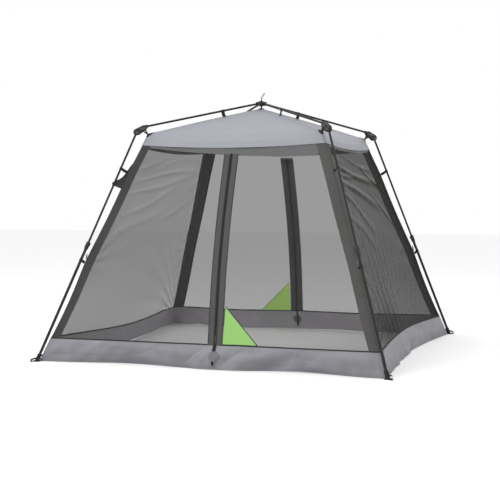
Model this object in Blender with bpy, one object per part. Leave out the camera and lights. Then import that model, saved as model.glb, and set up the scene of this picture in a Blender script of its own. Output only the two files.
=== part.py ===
"""A screen house on an outside folding frame: a hub, four roof arms, four telescoping legs,
and the canopy, net walls, corner strips and skirts that hang inside them.

Metres, +Z up. The origin is on the ground under the hub. The front wall is on -Y.
Each corner is drawn once in its own upright plane, where x is the distance from the
house's axis, y runs across the plane and z is the height, and is then turned into place.
"""

from math import atan2, cos, copysign, hypot, pi, radians, sin, sqrt

import bmesh
import bpy
from mathutils import Matrix, Vector

GAP = 0.0003  # between pieces that touch

# Frame
FOOT_SPAN = 3.10  # between two neighbouring feet, at the ground
ELBOW_SPAN = 1.778  # between two neighbouring leg pivots
ELBOW_Z = 2.003
HUB_PIVOT_R = 0.042
HUB_PIVOT_Z = 2.300
ARM_END_R = 1.185
ARM_END_Z = 2.055
CORNERS = {"fl": 225, "fr": 315, "br": 45, "bl": 135}  # degrees from +X

ARM_R = 0.0095
UPPER_R = 0.0095
LOWER_R = 0.0125
TUBE_WALL = 0.001
TUBE_SIDES = 20

UPPER_START = 0.020  # distances down the leg from its pivot
COLLAR_TOP = 1.075
COLLAR_LENGTH = 0.070
UPPER_END = 1.215
COLLAR_R = 0.0185
COLLAR_GRIP = 0.030  # of the collar, around the lower tube
BUTTON_R = 0.0050
BOSS_R = 0.0095  # the collar's boss around the button, and its distance from the leg's axis
BOSS_END = 0.0205
BUTTON_DOWN = 0.018  # from the collar's top
BUTTON_TRAVEL = 0.003

FOOT_CAP_R = 0.0175
FOOT_CAP_LENGTH = 0.070
SOLE_R = 0.032
SOLE_THICK = 0.008

# Hub and elbows
HUB_R = 0.052
HUB_BOTTOM = 2.284
HUB_TOP = 2.318
HUB_SLOT = 0.0206
HUB_SLOT_START = 0.026
PIN_R = 0.0030
CAP_TOP = 2.330
ELBOW_HALF = 0.021
KNUCKLE_HALF = 0.0125
KNUCKLE_R = 0.0150
ELBOW_SMALL_R = 0.024
ELBOW_LARGE_R = 0.030

# Fabric
CLOTH = 0.0008
WALL_FOOT = 1.525  # half the walls' width at the ground
WALL_LEAN = 0.358  # how far a wall leans in for each metre of height
SKIRT_TOP = 0.197
SKIRT_BOTTOM = 0.004
VALANCE_CORNER_Z = 1.890
VALANCE_MIDDLE_Z = 1.857
EAVE_CORNER_Z = 1.992
EAVE_MIDDLE_Z = 1.965
PEAK_Z = 2.258
EDGE_STEPS = 8  # straight pieces in each drooping edge
STRIP_WIDTH = 0.105
ZIP_TOP = (0.012, 1.815)  # across the wall, height
ZIP_BOTTOM = (0.066, 0.205)
ZIP_WIDTH = 0.120
ZIP_FLAT = 0.075  # each side of the zip's line, where the wall stays flat
BOW_TOP = 1.86  # the walls hang flat above this height
BOWS = {  # how far each wall bows in: at its hem, at the skirt's seam, and its lopsidedness
    "front": (0.110, 0.0, 0.0),
    "right": (0.095, 0.105, 0.15),
    "back": (0.100, 0.100, 0.0),
    "left": (0.190, 0.190, 0.25),
}
SEAM_GAP = 0.0006  # between a wall or strip and the skirt below it
EDGE_GAP = 0.003  # between a wall or strip and the canopy above it
WALL_GRID = (20, 6)
SKIRT_GRID = (24, 2)
PATCH_GRID = 5
PATCH_CORNER = (0.134, 0.205)  # the green patch, seen from outside the wall
PATCH_SIDE = 0.295


def clear_scene():
    for obj in list(bpy.data.objects):
        bpy.data.objects.remove(obj)


def material(name, rgb, roughness, metallic=0.0):
    mat = bpy.data.materials.new(name)
    mat.use_nodes = True
    shader = mat.node_tree.nodes["Principled BSDF"]
    shader.inputs["Base Color"].default_value = (*rgb, 1.0)
    shader.inputs["Roughness"].default_value = roughness
    shader.inputs["Metallic"].default_value = metallic
    return mat


def add_object(name, mesh, mat=None):
    obj = bpy.data.objects.new(name, mesh)
    bpy.context.scene.collection.objects.link(obj)
    if mat:
        mesh.materials.clear()
        mesh.materials.append(mat)
    return obj


def mesh_from(bm, name, smooth_deg=None):
    bmesh.ops.recalc_face_normals(bm, faces=bm.faces)
    mesh = bpy.data.meshes.new(name)
    bm.to_mesh(mesh)
    bm.free()
    if smooth_deg:
        mesh.shade_smooth()
        mesh.set_sharp_from_angle(angle=radians(smooth_deg))
    return mesh


def turned(profile, sides=TUBE_SIDES):
    """A solid of revolution about Z from a closed outline of (radius, height) points."""
    bm = bmesh.new()
    rings = []
    for radius, height in profile:
        if radius == 0:
            rings.append([bm.verts.new((0, 0, height))] * sides)
            continue
        angles = [2 * pi * i / sides for i in range(sides)]
        rings.append([bm.verts.new((radius * cos(a), radius * sin(a), height)) for a in angles])
    for ring, after in zip(rings, rings[1:] + rings[:1]):
        for i in range(sides):
            j = (i + 1) % sides
            corners = list(dict.fromkeys([ring[i], ring[j], after[j], after[i]]))
            if len(corners) > 2:
                bm.faces.new(corners)
    return bm


def extruded(outline, half):
    """A plate in the XZ plane, from an outline of (x, z) points, reaching half each way along Y."""
    bm = bmesh.new()
    face = bm.faces.new([bm.verts.new((x, -half, z)) for x, z in outline])
    grown = bmesh.ops.extrude_face_region(bm, geom=[face])
    moved = [v for v in grown["geom"] if isinstance(v, bmesh.types.BMVert)]
    bmesh.ops.translate(bm, verts=moved, vec=(0, 2 * half, 0))
    return bm


def box(size, centre):
    bm = bmesh.new()
    bmesh.ops.create_cube(bm, size=1)
    bmesh.ops.scale(bm, verts=bm.verts, vec=size)
    bmesh.ops.translate(bm, verts=bm.verts, vec=centre)
    return bm


def moved(bm, matrix):
    bmesh.ops.transform(bm, matrix=matrix, verts=bm.verts)
    return bm


def round_edges(bm, width, segments=2, min_deg=40):
    """Bevels the edges where two faces meet at more than min_deg."""
    sharp = [e for e in bm.edges if e.calc_face_angle(0) > radians(min_deg)]
    bmesh.ops.bevel(
        bm, geom=sharp, offset=width, segments=segments, affect="EDGES", profile=0.5
    )
    return bm


def combine(name, base, steps, smooth_deg=35):
    """One mesh from a base and (operation, shape) Boolean steps."""
    target = add_object(name, mesh_from(base, name))
    helpers = []
    for operation, shape in steps:
        helper = add_object(name + "_cutter", mesh_from(shape, name + "_cutter"))
        helper.hide_render = True
        helper.display_type = "WIRE"
        helpers.append(helper)
        modifier = target.modifiers.new(operation.title(), "BOOLEAN")
        modifier.operation = operation
        modifier.object = helper
    graph = bpy.context.evaluated_depsgraph_get()
    mesh = bpy.data.meshes.new_from_object(target.evaluated_get(graph))
    for obj in [target, *helpers]:
        bpy.data.objects.remove(obj)
    mesh.shade_smooth()
    mesh.set_sharp_from_angle(angle=radians(smooth_deg))
    mesh.name = name
    return mesh


def along(start, direction):
    """Turns +Z onto a direction in the XZ plane and moves the origin to start."""
    x, z = direction
    return Matrix.Translation((start[0], 0, start[1])) @ Matrix.Rotation(atan2(x, z), 4, "Y")


def arc(centre, radius, start_deg, end_deg, steps):
    angles = [radians(start_deg + (end_deg - start_deg) * i / steps) for i in range(steps + 1)]
    return [(centre[0] + radius * cos(a), centre[1] + radius * sin(a)) for a in angles]


def unit(x, z):
    length = hypot(x, z)
    return x / length, z / length


FOOT_R = FOOT_SPAN / sqrt(2)
ELBOW = (ELBOW_SPAN / sqrt(2), ELBOW_Z)
HUB_PIVOT = (HUB_PIVOT_R, HUB_PIVOT_Z)
ARM_END = (ARM_END_R, ARM_END_Z)
ARM_DIRECTION = unit(ARM_END_R - HUB_PIVOT_R, ARM_END_Z - HUB_PIVOT_Z)
LEG_DIRECTION = unit(FOOT_R - ELBOW[0], -ELBOW_Z)
LEG_LENGTH = hypot(FOOT_R - ELBOW[0], ELBOW_Z)


def tube(length, radius, sides=TUBE_SIDES):
    inner = radius - TUBE_WALL
    return turned([(inner, 0), (radius, 0), (radius, length), (inner, length)], sides)


def pin_cutter(centre, radius, half, sides=16):
    """A solid cylinder across the corner's plane, as a pin or the cutter for its hole."""
    bm = turned([(0, -half), (radius, -half), (radius, half), (0, half)], sides)
    turn = Matrix.Rotation(pi / 2, 4, "X")
    return moved(bm, Matrix.Translation((centre[0], 0, centre[1])) @ turn)


def hub_body_mesh():
    """A turned hub with a slot for each arm, open outwards and upwards, bridged by a pin."""
    edge = 0.004
    base = turned(
        [
            (0, HUB_BOTTOM - 0.006),
            (0.014, HUB_BOTTOM - 0.006),
            (0.016, HUB_BOTTOM),
            (HUB_R - edge, HUB_BOTTOM),
            (HUB_R, HUB_BOTTOM + edge),
            (HUB_R, HUB_TOP - edge),
            (HUB_R - edge, HUB_TOP),
            (0, HUB_TOP),
        ],
        32,
    )
    steps = []
    slot_floor = HUB_BOTTOM + 0.0035
    for degrees in CORNERS.values():
        slot = box((0.1, HUB_SLOT, 0.1), (HUB_SLOT_START + 0.05, 0, slot_floor + 0.05))
        turn = Matrix.Rotation(radians(degrees), 4, "Z")
        steps.append(("DIFFERENCE", moved(slot, turn)))
    for degrees in CORNERS.values():
        pin = pin_cutter(HUB_PIVOT, PIN_R, HUB_SLOT / 2 + 0.003)
        turn = Matrix.Rotation(radians(degrees), 4, "Z")
        steps.append(("UNION", moved(pin, turn)))
    return combine("hub_body", base, steps)


def hub_cap_mesh():
    """A low dome over the hub's middle, between the slots' inner ends."""
    low = HUB_TOP + GAP
    return mesh_from(
        turned([(0, low), (0.022, low), (0.022, low + 0.004), (0.014, CAP_TOP), (0, CAP_TOP)], 24),
        "hub_cap",
        35,
    )


def hub_loop_mesh():
    """A loop of webbing that stands on the cap, drawn as a flat pear-shaped band."""
    centre_z = CAP_TOP + GAP + 0.046
    outer = [(0.006, CAP_TOP + GAP), *arc((0, centre_z), 0.020, -20, 200, 14), (-0.006, CAP_TOP + GAP)]
    inner = [(0.0035, CAP_TOP + 0.006), *arc((0, centre_z), 0.0175, -20, 200, 14)]
    inner.append((-0.0035, CAP_TOP + 0.006))
    return combine("hub_loop", extruded(outer, 0.008), [("DIFFERENCE", extruded(inner, 0.02))])


def arm_mesh():
    """A roof tube, its inner end flattened around the hub's pin."""
    start = 0.030
    length = hypot(ARM_END_R - HUB_PIVOT_R, ARM_END_Z - HUB_PIVOT_Z)
    place = along(HUB_PIVOT, ARM_DIRECTION)
    base = moved(tube(length - start, ARM_R), place @ Matrix.Translation((0, 0, start)))
    half = HUB_SLOT / 2 - GAP
    lug_r = 0.0085
    lug_outline = [*arc((0, 0), lug_r, -180, 0, 8), (lug_r, start + 0.03), (-lug_r, start + 0.03)]
    lug = extruded(lug_outline, half * 0.8)
    moved(lug, place)
    hole = pin_cutter(HUB_PIVOT, PIN_R + GAP, 0.03)
    return combine("arm", base, [("UNION", lug), ("DIFFERENCE", hole)])


def elbow_frame(u, w):
    """A point given along and above the arm's direction from the leg's pivot."""
    x, z = ARM_DIRECTION
    return ELBOW[0] + u * x - w * z, ELBOW[1] + u * z + w * x


def elbow_mesh():
    """The housing at the arm's end: a tapered body, slotted below for the leg's knuckle."""
    small = (ARM_END_R, ARM_END_Z - 0.008)
    large = (ELBOW[0] - 0.006, ELBOW[1] + 0.005)
    slope = atan2(large[1] - small[1], large[0] - small[0]) * 180 / pi
    outline = [
        *arc(large, ELBOW_LARGE_R, slope - 92, slope + 88, 12),
        *arc(small, ELBOW_SMALL_R, slope + 88, slope + 268, 10),
    ]
    base = round_edges(extruded(outline, ELBOW_HALF), 0.004, 2, 60)
    reach = KNUCKLE_R + 0.0015
    lean = atan2(LEG_DIRECTION[1], LEG_DIRECTION[0]) - atan2(ARM_DIRECTION[1], ARM_DIRECTION[0])
    around = arc((0, 0), reach, 90, 90 + lean * 180 / pi, 5)
    side = around[-1]
    slot_points = [
        (-0.15, reach),
        *around,
        (side[0] + 0.12 * cos(lean), side[1] + 0.12 * sin(lean)),
        (-0.15, -0.12),
    ]
    slot = extruded([elbow_frame(u, w) for u, w in slot_points], KNUCKLE_HALF + 0.0006)
    place = along(ARM_END, ARM_DIRECTION)
    socket = moved(
        turned([(0, -0.2), (ARM_R + GAP, -0.2), (ARM_R + GAP, GAP), (0, GAP)]),
        place,
    )
    hole = pin_cutter(ELBOW, PIN_R + 0.001 + GAP, 0.06)
    return combine("elbow", base, [("DIFFERENCE", s) for s in (slot, socket, hole)])


def elbow_pin_mesh():
    """A rivet through the elbow, with a domed head on each side."""
    head = ELBOW_HALF + GAP
    shank = PIN_R + 0.001
    profile = [
        (0, -head - 0.003),
        (0.005, -head - 0.0022),
        (0.007, -head),
        (shank, -head),
        (shank, head),
        (0.007, head),
        (0.005, head + 0.0022),
        (0, head + 0.003),
    ]
    place = Matrix.Translation((ELBOW[0], 0, ELBOW[1])) @ Matrix.Rotation(pi / 2, 4, "X")
    return mesh_from(moved(turned(profile, 16), place), "elbow_pin", 35)


def knuckle_mesh():
    """The leg's top fitting: a round boss on the pin and a plug down into the tube."""
    place = along(ELBOW, LEG_DIRECTION)
    boss = pin_cutter(ELBOW, KNUCKLE_R, KNUCKLE_HALF, 24)
    plug_r = UPPER_R - TUBE_WALL - GAP
    start = UPPER_START - GAP
    end = start + 0.03
    stem = turned([(0, 0), (UPPER_R, 0), (UPPER_R, start), (plug_r, start), (plug_r, end), (0, end)])
    moved(stem, place)
    hole = pin_cutter(ELBOW, PIN_R + 0.001 + GAP, 0.06)
    return combine("knuckle", boss, [("UNION", stem), ("DIFFERENCE", hole)])


def leg_place(distance):
    x = ELBOW[0] + LEG_DIRECTION[0] * distance
    z = ELBOW[1] + LEG_DIRECTION[1] * distance
    return along((x, z), LEG_DIRECTION)


def upper_tube_mesh():
    bm = tube(UPPER_END - UPPER_START, UPPER_R)
    return mesh_from(moved(bm, leg_place(UPPER_START)), "upper_tube", 35)


def lower_tube_span():
    start = COLLAR_TOP + COLLAR_LENGTH - COLLAR_GRIP
    end = LEG_LENGTH - 0.020
    return start, end


def lower_tube_mesh():
    start, end = lower_tube_span()
    return mesh_from(moved(tube(end - start, LOWER_R), leg_place(start)), "lower_tube", 35)


def collar_mesh():
    """The grip at the lower tube's top, bored for both tubes, with a boss for the button."""
    bore = UPPER_R + GAP
    wide = LOWER_R + GAP
    step = COLLAR_LENGTH - COLLAR_GRIP - GAP
    shell = turned(
        [
            (bore, 0),
            (COLLAR_R - 0.003, 0),
            (COLLAR_R, 0.004),
            (COLLAR_R, COLLAR_LENGTH - 0.022),
            (COLLAR_R - 0.003, COLLAR_LENGTH),
            (wide, COLLAR_LENGTH),
            (wide, step),
            (bore, step),
        ]
    )
    out = Matrix.Translation((0, 0, BUTTON_DOWN)) @ Matrix.Rotation(pi / 2, 4, "Y")
    boss = turned([(0, 0.0125), (BOSS_R, 0.0125), (BOSS_R, BOSS_END), (0, BOSS_END)], 20)
    moved(boss, out)
    hole_r = BUTTON_R + GAP
    hole = moved(turned([(0, 0.004), (hole_r, 0.004), (hole_r, 0.04), (0, 0.04)], 20), out)
    place = leg_place(COLLAR_TOP)
    steps = [("UNION", moved(boss, place)), ("DIFFERENCE", moved(hole, place))]
    return combine("collar", moved(shell, place), steps)


def button_mesh():
    inner = UPPER_R + GAP + BUTTON_TRAVEL
    outer = BOSS_END + BUTTON_TRAVEL + 0.001
    rim = 0.0015
    profile = [(0, inner), (BUTTON_R, inner), (BUTTON_R, outer - rim), (BUTTON_R - rim, outer)]
    profile.append((0, outer))
    bm = turned(profile, 16)
    out = Matrix.Translation((0, 0, BUTTON_DOWN)) @ Matrix.Rotation(pi / 2, 4, "Y")
    return mesh_from(moved(bm, leg_place(COLLAR_TOP) @ out), "button", 35)


def foot_mesh():
    """A boot around the lower tube's end on a level sole, with a ring outside for a stake."""
    _, tube_end = lower_tube_span()
    bore = LOWER_R + GAP
    floor_cut = box((0.4, 0.4, 0.2), (FOOT_R, 0, -0.1))
    plug_r = LOWER_R - TUBE_WALL - GAP
    cap = turned(
        [
            (0, -0.014),
            (plug_r, -0.014),
            (plug_r, GAP),
            (bore, GAP),
            (bore, -FOOT_CAP_LENGTH + 0.022),
            (FOOT_CAP_R - 0.002, -FOOT_CAP_LENGTH + 0.022),
            (FOOT_CAP_R, -FOOT_CAP_LENGTH + 0.026),
            (FOOT_CAP_R, 0.05),
            (0, 0.05),
        ]
    )
    rim = 0.002
    sole = turned(
        [(0, 0), (SOLE_R, 0), (SOLE_R, SOLE_THICK - rim), (SOLE_R - rim, SOLE_THICK), (0, SOLE_THICK)]
    )
    moved(sole, Matrix.Translation((FOOT_R, 0, 0)))
    ring_r = 0.016
    ring = turned([(ring_r - 0.007, 0), (ring_r, 0), (ring_r, 0.005), (ring_r - 0.007, 0.005)], 20)
    moved(ring, Matrix.Translation((FOOT_R + SOLE_R + ring_r - 0.004, 0, 0.001)))
    cap_in_place = moved(cap, leg_place(tube_end))
    return combine(
        "foot", cap_in_place, [("DIFFERENCE", floor_cut), ("UNION", sole), ("UNION", ring)]
    )


def half_width(z):
    return WALL_FOOT - WALL_LEAN * z


def zip_across(z):
    """Where the zip's line crosses this height, across the wall."""
    (x0, z0), (x1, z1) = ZIP_BOTTOM, ZIP_TOP
    return x0 + (x1 - x0) * (z - z0) / (z1 - z0)


def bow(side, across, z):
    """How far a wall hangs inwards of the flat plane between its corners."""
    at_hem, at_seam, lopsided = BOWS[side]
    below = max(0, (SKIRT_TOP - z) / (SKIRT_TOP - SKIRT_BOTTOM))
    height = min(1, max(0, (BOW_TOP - z) / (BOW_TOP - SKIRT_TOP)))
    depth = (at_seam + (at_hem - at_seam) * below) * height
    reach = half_width(z) - STRIP_WIDTH
    if side in ("left", "right"):
        share = min(1, abs(across) / reach)
        share = copysign(share, across) - lopsided * (1 - share**2)
        return depth * (1 - share**2) ** 1.3
    offset = across - zip_across(z)
    reach -= copysign(zip_across(z), offset * zip_across(z))
    share = (abs(offset) - ZIP_FLAT) / (reach - ZIP_FLAT)
    return depth * sin(pi * share) ** 2 if 0 < share < 1 else 0


def wall_point(side, across, z, outward=0.0):
    """A point on a wall's outer face, drawn at the front, moved outwards."""
    tilt = sqrt(1 + WALL_LEAN**2)
    y = bow(side, across, z) - half_width(z) - outward / tilt
    return Vector((across, y, z + outward * WALL_LEAN / tilt))


def wall_plate(side, rows, low, high):
    """A thin plate on a wall, from rows of (across, height) points,
    between two distances outside the wall's outer face."""
    bm = bmesh.new()
    layers = []
    for outward in (low, high):
        layer = []
        for row in rows:
            layer.append([bm.verts.new(wall_point(side, x, z, outward)) for x, z in row])
        layers.append(layer)
        for row, above in zip(layer, layer[1:]):
            for i in range(len(row) - 1):
                bm.faces.new([row[i], row[i + 1], above[i + 1], above[i]])
    rims = []
    for layer in layers:
        right = [row[-1] for row in layer[1:-1]]
        left = [row[0] for row in layer[-2:0:-1]]
        rims.append([*layer[0], *right, *layer[-1][::-1], *left])
    inner, outer = rims
    for i in range(len(inner)):
        j = (i + 1) % len(inner)
        bm.faces.new([inner[i], inner[j], outer[j], outer[i]])
    bmesh.ops.remove_doubles(bm, verts=bm.verts, dist=0.00001)
    return bm


def between(bottom, top, steps):
    """Rows of points from one edge of a panel to the other."""
    rows = []
    for i in range(steps + 1):
        t = i / steps
        rows.append([(a + (c - a) * t, b + (d - b) * t) for (a, b), (c, d) in zip(bottom, top)])
    return rows


def valance_z(across):
    """The height of the canopy's lower edge, which droops towards each side's middle."""
    share = across / half_width(VALANCE_CORNER_Z)
    return VALANCE_CORNER_Z + (VALANCE_MIDDLE_Z - VALANCE_CORNER_Z) * (1 - share**2)


def wall_mesh(side):
    """The net panel with its header band, between the corner strips."""
    columns, rows = WALL_GRID
    edge = STRIP_WIDTH + 0.001
    low = SKIRT_TOP + SEAM_GAP
    bottom_end = half_width(low) - edge
    top_end = half_width(VALANCE_CORNER_Z) - edge
    bottom = []
    top = []
    for i in range(columns + 1):
        t = 2 * i / columns - 1
        bottom.append((t * bottom_end, low))
        top.append((t * top_end, valance_z(t * top_end) - EDGE_GAP))
    return mesh_from(wall_plate(side, between(bottom, top, rows), -CLOTH, 0), "wall", 30)


def skirt_mesh(side):
    """The band of cloth below the wall's seam."""
    columns, rows = SKIRT_GRID
    corner_gap = 0.002
    edges = []
    for z in (SKIRT_BOTTOM, SKIRT_TOP):
        end = half_width(z) - corner_gap
        edges.append([((2 * i / columns - 1) * end, z) for i in range(columns + 1)])
    return mesh_from(wall_plate(side, between(*edges, rows), -CLOTH, 0), "skirt", 30)


def strip_mesh():
    """The band folded round the corner at +X, -Y, from the skirt up to the canopy."""
    bm = bmesh.new()
    inner_end = valance_z(half_width(VALANCE_CORNER_Z) - STRIP_WIDTH)
    rows = []
    low = SKIRT_TOP + SEAM_GAP
    for corner_z, end_z in ((low, low), (VALANCE_CORNER_Z - EDGE_GAP, inner_end - EDGE_GAP)):
        ring = []
        for inset in (0.0, CLOTH):
            corner = half_width(corner_z) - inset
            face = half_width(end_z) - inset
            end = half_width(end_z) - STRIP_WIDTH
            points = [(end, -face, end_z), (corner, -corner, corner_z), (face, -end, end_z)]
            ring += points if inset == 0 else points[::-1]
        rows.append([bm.verts.new(point) for point in ring])
    for i in range(6):
        j = (i + 1) % 6
        bm.faces.new([rows[0][i], rows[0][j], rows[1][j], rows[1][i]])
    for row in rows:
        bm.faces.new([row[0], row[1], row[4], row[5]])
        bm.faces.new([row[1], row[2], row[3], row[4]])
    return mesh_from(bm, "strip")


def canopy_mesh():
    """The roof with its short drop, as one shell: rings from the peak to the lower edge."""
    bm = bmesh.new()
    peak = bm.verts.new((0, 0, PEAK_Z))
    rings = []
    for share in (0.15, 0.35, 0.6, 0.8, 1.0, 1.5, 2.0):
        down = max(share - 1, 0)
        corner_z = PEAK_Z + (EAVE_CORNER_Z - PEAK_Z) * min(share, 1)
        corner_z += (VALANCE_CORNER_Z - EAVE_CORNER_Z) * down
        droop = (EAVE_MIDDLE_Z - EAVE_CORNER_Z) * min(share, 1) * (1 - down)
        droop += (VALANCE_MIDDLE_Z - VALANCE_CORNER_Z) * down
        ring = []
        for side in range(4):
            turn = Matrix.Rotation(side * pi / 2, 3, "Z")
            for i in range(EDGE_STEPS):
                t = 2 * i / EDGE_STEPS - 1
                z = corner_z + droop * (1 - t * t)
                out = half_width(EAVE_CORNER_Z) * share if share < 1 else half_width(z)
                across = t * (out if share < 1 else half_width(corner_z))
                ring.append(bm.verts.new(turn @ Vector((across, -out, z))))
        rings.append(ring)
    count = len(rings[0])
    for i in range(count):
        bm.faces.new([peak, rings[0][i], rings[0][(i + 1) % count]])
    for ring, after in zip(rings, rings[1:]):
        for i in range(count):
            j = (i + 1) % count
            bm.faces.new([ring[i], after[i], after[j], ring[j]])
    return mesh_from(bm, "canopy")


def wall_strip(x0, z0, x1, z1, half, low, high):
    """A flat strip up the front wall, of the same width all the way."""
    rows = [[(x0 - half, z0), (x0 + half, z0)], [(x1 - half, z1), (x1 + half, z1)]]
    return wall_plate("front", rows, low, high)


def zip_tape_mesh():
    return mesh_from(
        wall_strip(*ZIP_BOTTOM, *ZIP_TOP, ZIP_WIDTH / 2, GAP, GAP + CLOTH),
        "zip_tape",
    )


def slider_mesh():
    """A zip slider with its pull tab hanging down."""
    x, z = ZIP_BOTTOM
    rise = 0.050
    face = 2 * GAP + CLOTH
    body = wall_strip(x, z + rise, x, z + rise + 0.020, 0.0055, face, face + 0.007)
    tab = wall_strip(x, z + 0.008, x, z + rise + 0.012, 0.004, face + 0.003, face + 0.005)
    return combine("slider", body, [("UNION", tab)])


def patch_mesh(side):
    """The green corner patch beside the zip's foot."""
    x, z = PATCH_CORNER
    tip = x - PATCH_SIDE * (ZIP_BOTTOM[0] - ZIP_TOP[0]) / (ZIP_TOP[1] - ZIP_BOTTOM[1])
    steps = range(PATCH_GRID + 1)
    bottom = [(x + PATCH_SIDE * i / PATCH_GRID, z) for i in steps]
    top = [(tip, z + PATCH_SIDE)] * len(steps)
    lift = 0.0015
    return mesh_from(wall_plate(side, between(bottom, top, PATCH_GRID), lift, lift + CLOTH), "patch", 30)


def put(name, mesh, mat, origin, degrees):
    """Adds one copy: its origin at the given point of the unturned mesh, turned about the axis."""
    own = mesh.copy()
    own.transform(Matrix.Translation(-Vector(origin)))
    obj = add_object(name, own, mat)
    turn = Matrix.Rotation(radians(degrees), 4, "Z")
    obj.matrix_world = turn @ Matrix.Translation(origin)
    return obj


def build():
    clear_scene()
    plastic = (0.045, 0.045, 0.046)
    steel = (0.030, 0.030, 0.031)
    looks = {
        "hub_body": (plastic, 0.45, 0),
        "hub_cap": (plastic, 0.40, 0),
        "hub_loop": ((0.35, 0.35, 0.36), 0.85, 0),
        "arm": (steel, 0.35, 0.6),
        "elbow": (plastic, 0.45, 0),
        "elbow_pin": ((0.25, 0.25, 0.25), 0.35, 1.0),
        "knuckle": (plastic, 0.50, 0),
        "upper_tube": (steel, 0.35, 0.6),
        "lower_tube": (steel, 0.35, 0.6),
        "collar": (plastic, 0.45, 0),
        "button": ((0.02, 0.02, 0.02), 0.35, 0),
        "foot": (plastic, 0.60, 0),
        "wall": ((0.09, 0.09, 0.085), 0.90, 0),
        "strip": ((0.10, 0.10, 0.098), 0.85, 0),
        "skirt": ((0.25, 0.26, 0.29), 0.80, 0),
        "canopy": ((0.42, 0.43, 0.48), 0.75, 0),
        "zip_tape": ((0.05, 0.05, 0.05), 0.85, 0),
        "zip_slider": ((0.03, 0.03, 0.03), 0.40, 0.5),
        "patch": ((0.31, 0.65, 0.17), 0.75, 0),
    }

    def look(name, kind):
        rgb, roughness, metallic = looks[kind]
        return material(name, rgb, roughness, metallic)

    hub_origin = (0, 0, HUB_BOTTOM)
    put("hub_body", hub_body_mesh(), look("hub_body", "hub_body"), hub_origin, 0)
    put("hub_cap", hub_cap_mesh(), look("hub_cap", "hub_cap"), hub_origin, 0)
    put("hub_loop", hub_loop_mesh(), look("hub_loop", "hub_loop"), hub_origin, 90)

    hub_pivot = (HUB_PIVOT[0], 0, HUB_PIVOT[1])
    elbow_pivot = (ELBOW[0], 0, ELBOW[1])
    collar_at = leg_place(COLLAR_TOP).translation
    corner_pieces = [
        ("arm", arm_mesh(), hub_pivot),
        ("elbow", elbow_mesh(), hub_pivot),
        ("elbow_pin", elbow_pin_mesh(), hub_pivot),
        ("knuckle", knuckle_mesh(), elbow_pivot),
        ("upper_tube", upper_tube_mesh(), elbow_pivot),
        ("lower_tube", lower_tube_mesh(), collar_at),
        ("collar", collar_mesh(), collar_at),
        ("button", button_mesh(), collar_at),
        ("foot", foot_mesh(), collar_at),
    ]
    for corner, degrees in CORNERS.items():
        for kind, mesh, origin in corner_pieces:
            name = f"{kind}_{corner}"
            put(name, mesh, look(name, kind), origin, degrees)

    sides = {"front": 0, "right": 90, "back": 180, "left": 270}
    wall_origin = (0, -half_width(1.0), 1.0)
    for kind, make in (("wall", wall_mesh), ("skirt", skirt_mesh)):
        for side, degrees in sides.items():
            name = f"{kind}_{side}"
            put(name, make(side), look(name, kind), wall_origin, degrees)
    for corner, degrees in CORNERS.items():
        name = f"strip_{corner}"
        put(name, strip_mesh(), look(name, "strip"), (0, 0, SKIRT_TOP), degrees - CORNERS["fr"])

    canopy = put("canopy", canopy_mesh(), look("canopy", "canopy"), (0, 0, PEAK_Z), 0)
    shell = canopy.modifiers.new("Shell", "SOLIDIFY")
    shell.thickness = CLOTH
    shell.offset = -1

    zip_foot = wall_point("front", *ZIP_BOTTOM)
    for side in ("front", "back"):
        door = {"zip_tape": zip_tape_mesh(), "zip_slider": slider_mesh(), "patch": patch_mesh(side)}
        for kind, mesh in door.items():
            name = f"{kind}_{side}"
            put(name, mesh, look(name, kind), zip_foot, sides[side])


build()
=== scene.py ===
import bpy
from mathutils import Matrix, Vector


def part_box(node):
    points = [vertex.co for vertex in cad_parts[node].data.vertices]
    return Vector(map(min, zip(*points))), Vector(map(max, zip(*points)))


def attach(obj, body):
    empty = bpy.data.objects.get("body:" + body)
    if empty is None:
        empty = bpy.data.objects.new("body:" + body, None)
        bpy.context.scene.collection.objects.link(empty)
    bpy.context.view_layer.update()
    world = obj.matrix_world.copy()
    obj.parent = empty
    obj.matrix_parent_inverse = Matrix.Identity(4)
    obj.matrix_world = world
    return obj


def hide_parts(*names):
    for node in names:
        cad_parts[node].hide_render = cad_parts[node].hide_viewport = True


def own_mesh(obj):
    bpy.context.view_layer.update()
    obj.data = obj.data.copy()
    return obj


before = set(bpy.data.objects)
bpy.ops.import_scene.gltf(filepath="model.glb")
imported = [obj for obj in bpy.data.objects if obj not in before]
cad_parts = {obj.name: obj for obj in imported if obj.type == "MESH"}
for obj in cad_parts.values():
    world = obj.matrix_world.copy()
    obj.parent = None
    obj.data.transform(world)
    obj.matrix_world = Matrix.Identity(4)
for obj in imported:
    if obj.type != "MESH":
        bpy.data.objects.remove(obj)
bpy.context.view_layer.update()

from math import cos, hypot, pi, radians, sin, sqrt

import bmesh
import bpy
import numpy as np
from mathutils import Matrix, Vector

# The walls' planes and edges, as in the CAD
WALL_FOOT = 1.525
WALL_LEAN = 0.358
TILT = sqrt(1 + WALL_LEAN**2)
SKIRT_TOP = 0.197
SKIRT_BOTTOM = 0.002
VALANCE_CORNER_Z = 1.890
VALANCE_MIDDLE_Z = 1.857
EAVE_CORNER_Z = 1.992
EAVE_MIDDLE_Z = 1.965
PEAK_Z = 2.258
STRIP_WIDTH = 0.105
NET_MARGIN = 0.065  # how far in from its corner a net begins, under the corner's strip
STRIP_REACHES = (0.105, 0.085, 0.06, 0.035, 0.018, 0.008, 0.003)
STRIP_NARROWING = 0.79  # the strips reach less far on to the front and back
STRIP_ROWS = 50
LINING_GAP = 0.0022
ZIP_TOP = (0.012, 1.815)
ZIP_BOTTOM = (0.066, 0.205)
ZIP_HALF = 0.066
ZIP_FLAT = 0.075
BOW_TOP = 1.86
BOWS = {  # inward, at the hem, at the skirt's seam, and lopsidedness
    "front": (0.110, 0.0, 0.0),
    "right": (0.095, 0.105, 0.15),
    "back": (0.100, 0.100, 0.0),
    "left": (0.190, 0.190, 0.25),
}
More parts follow.
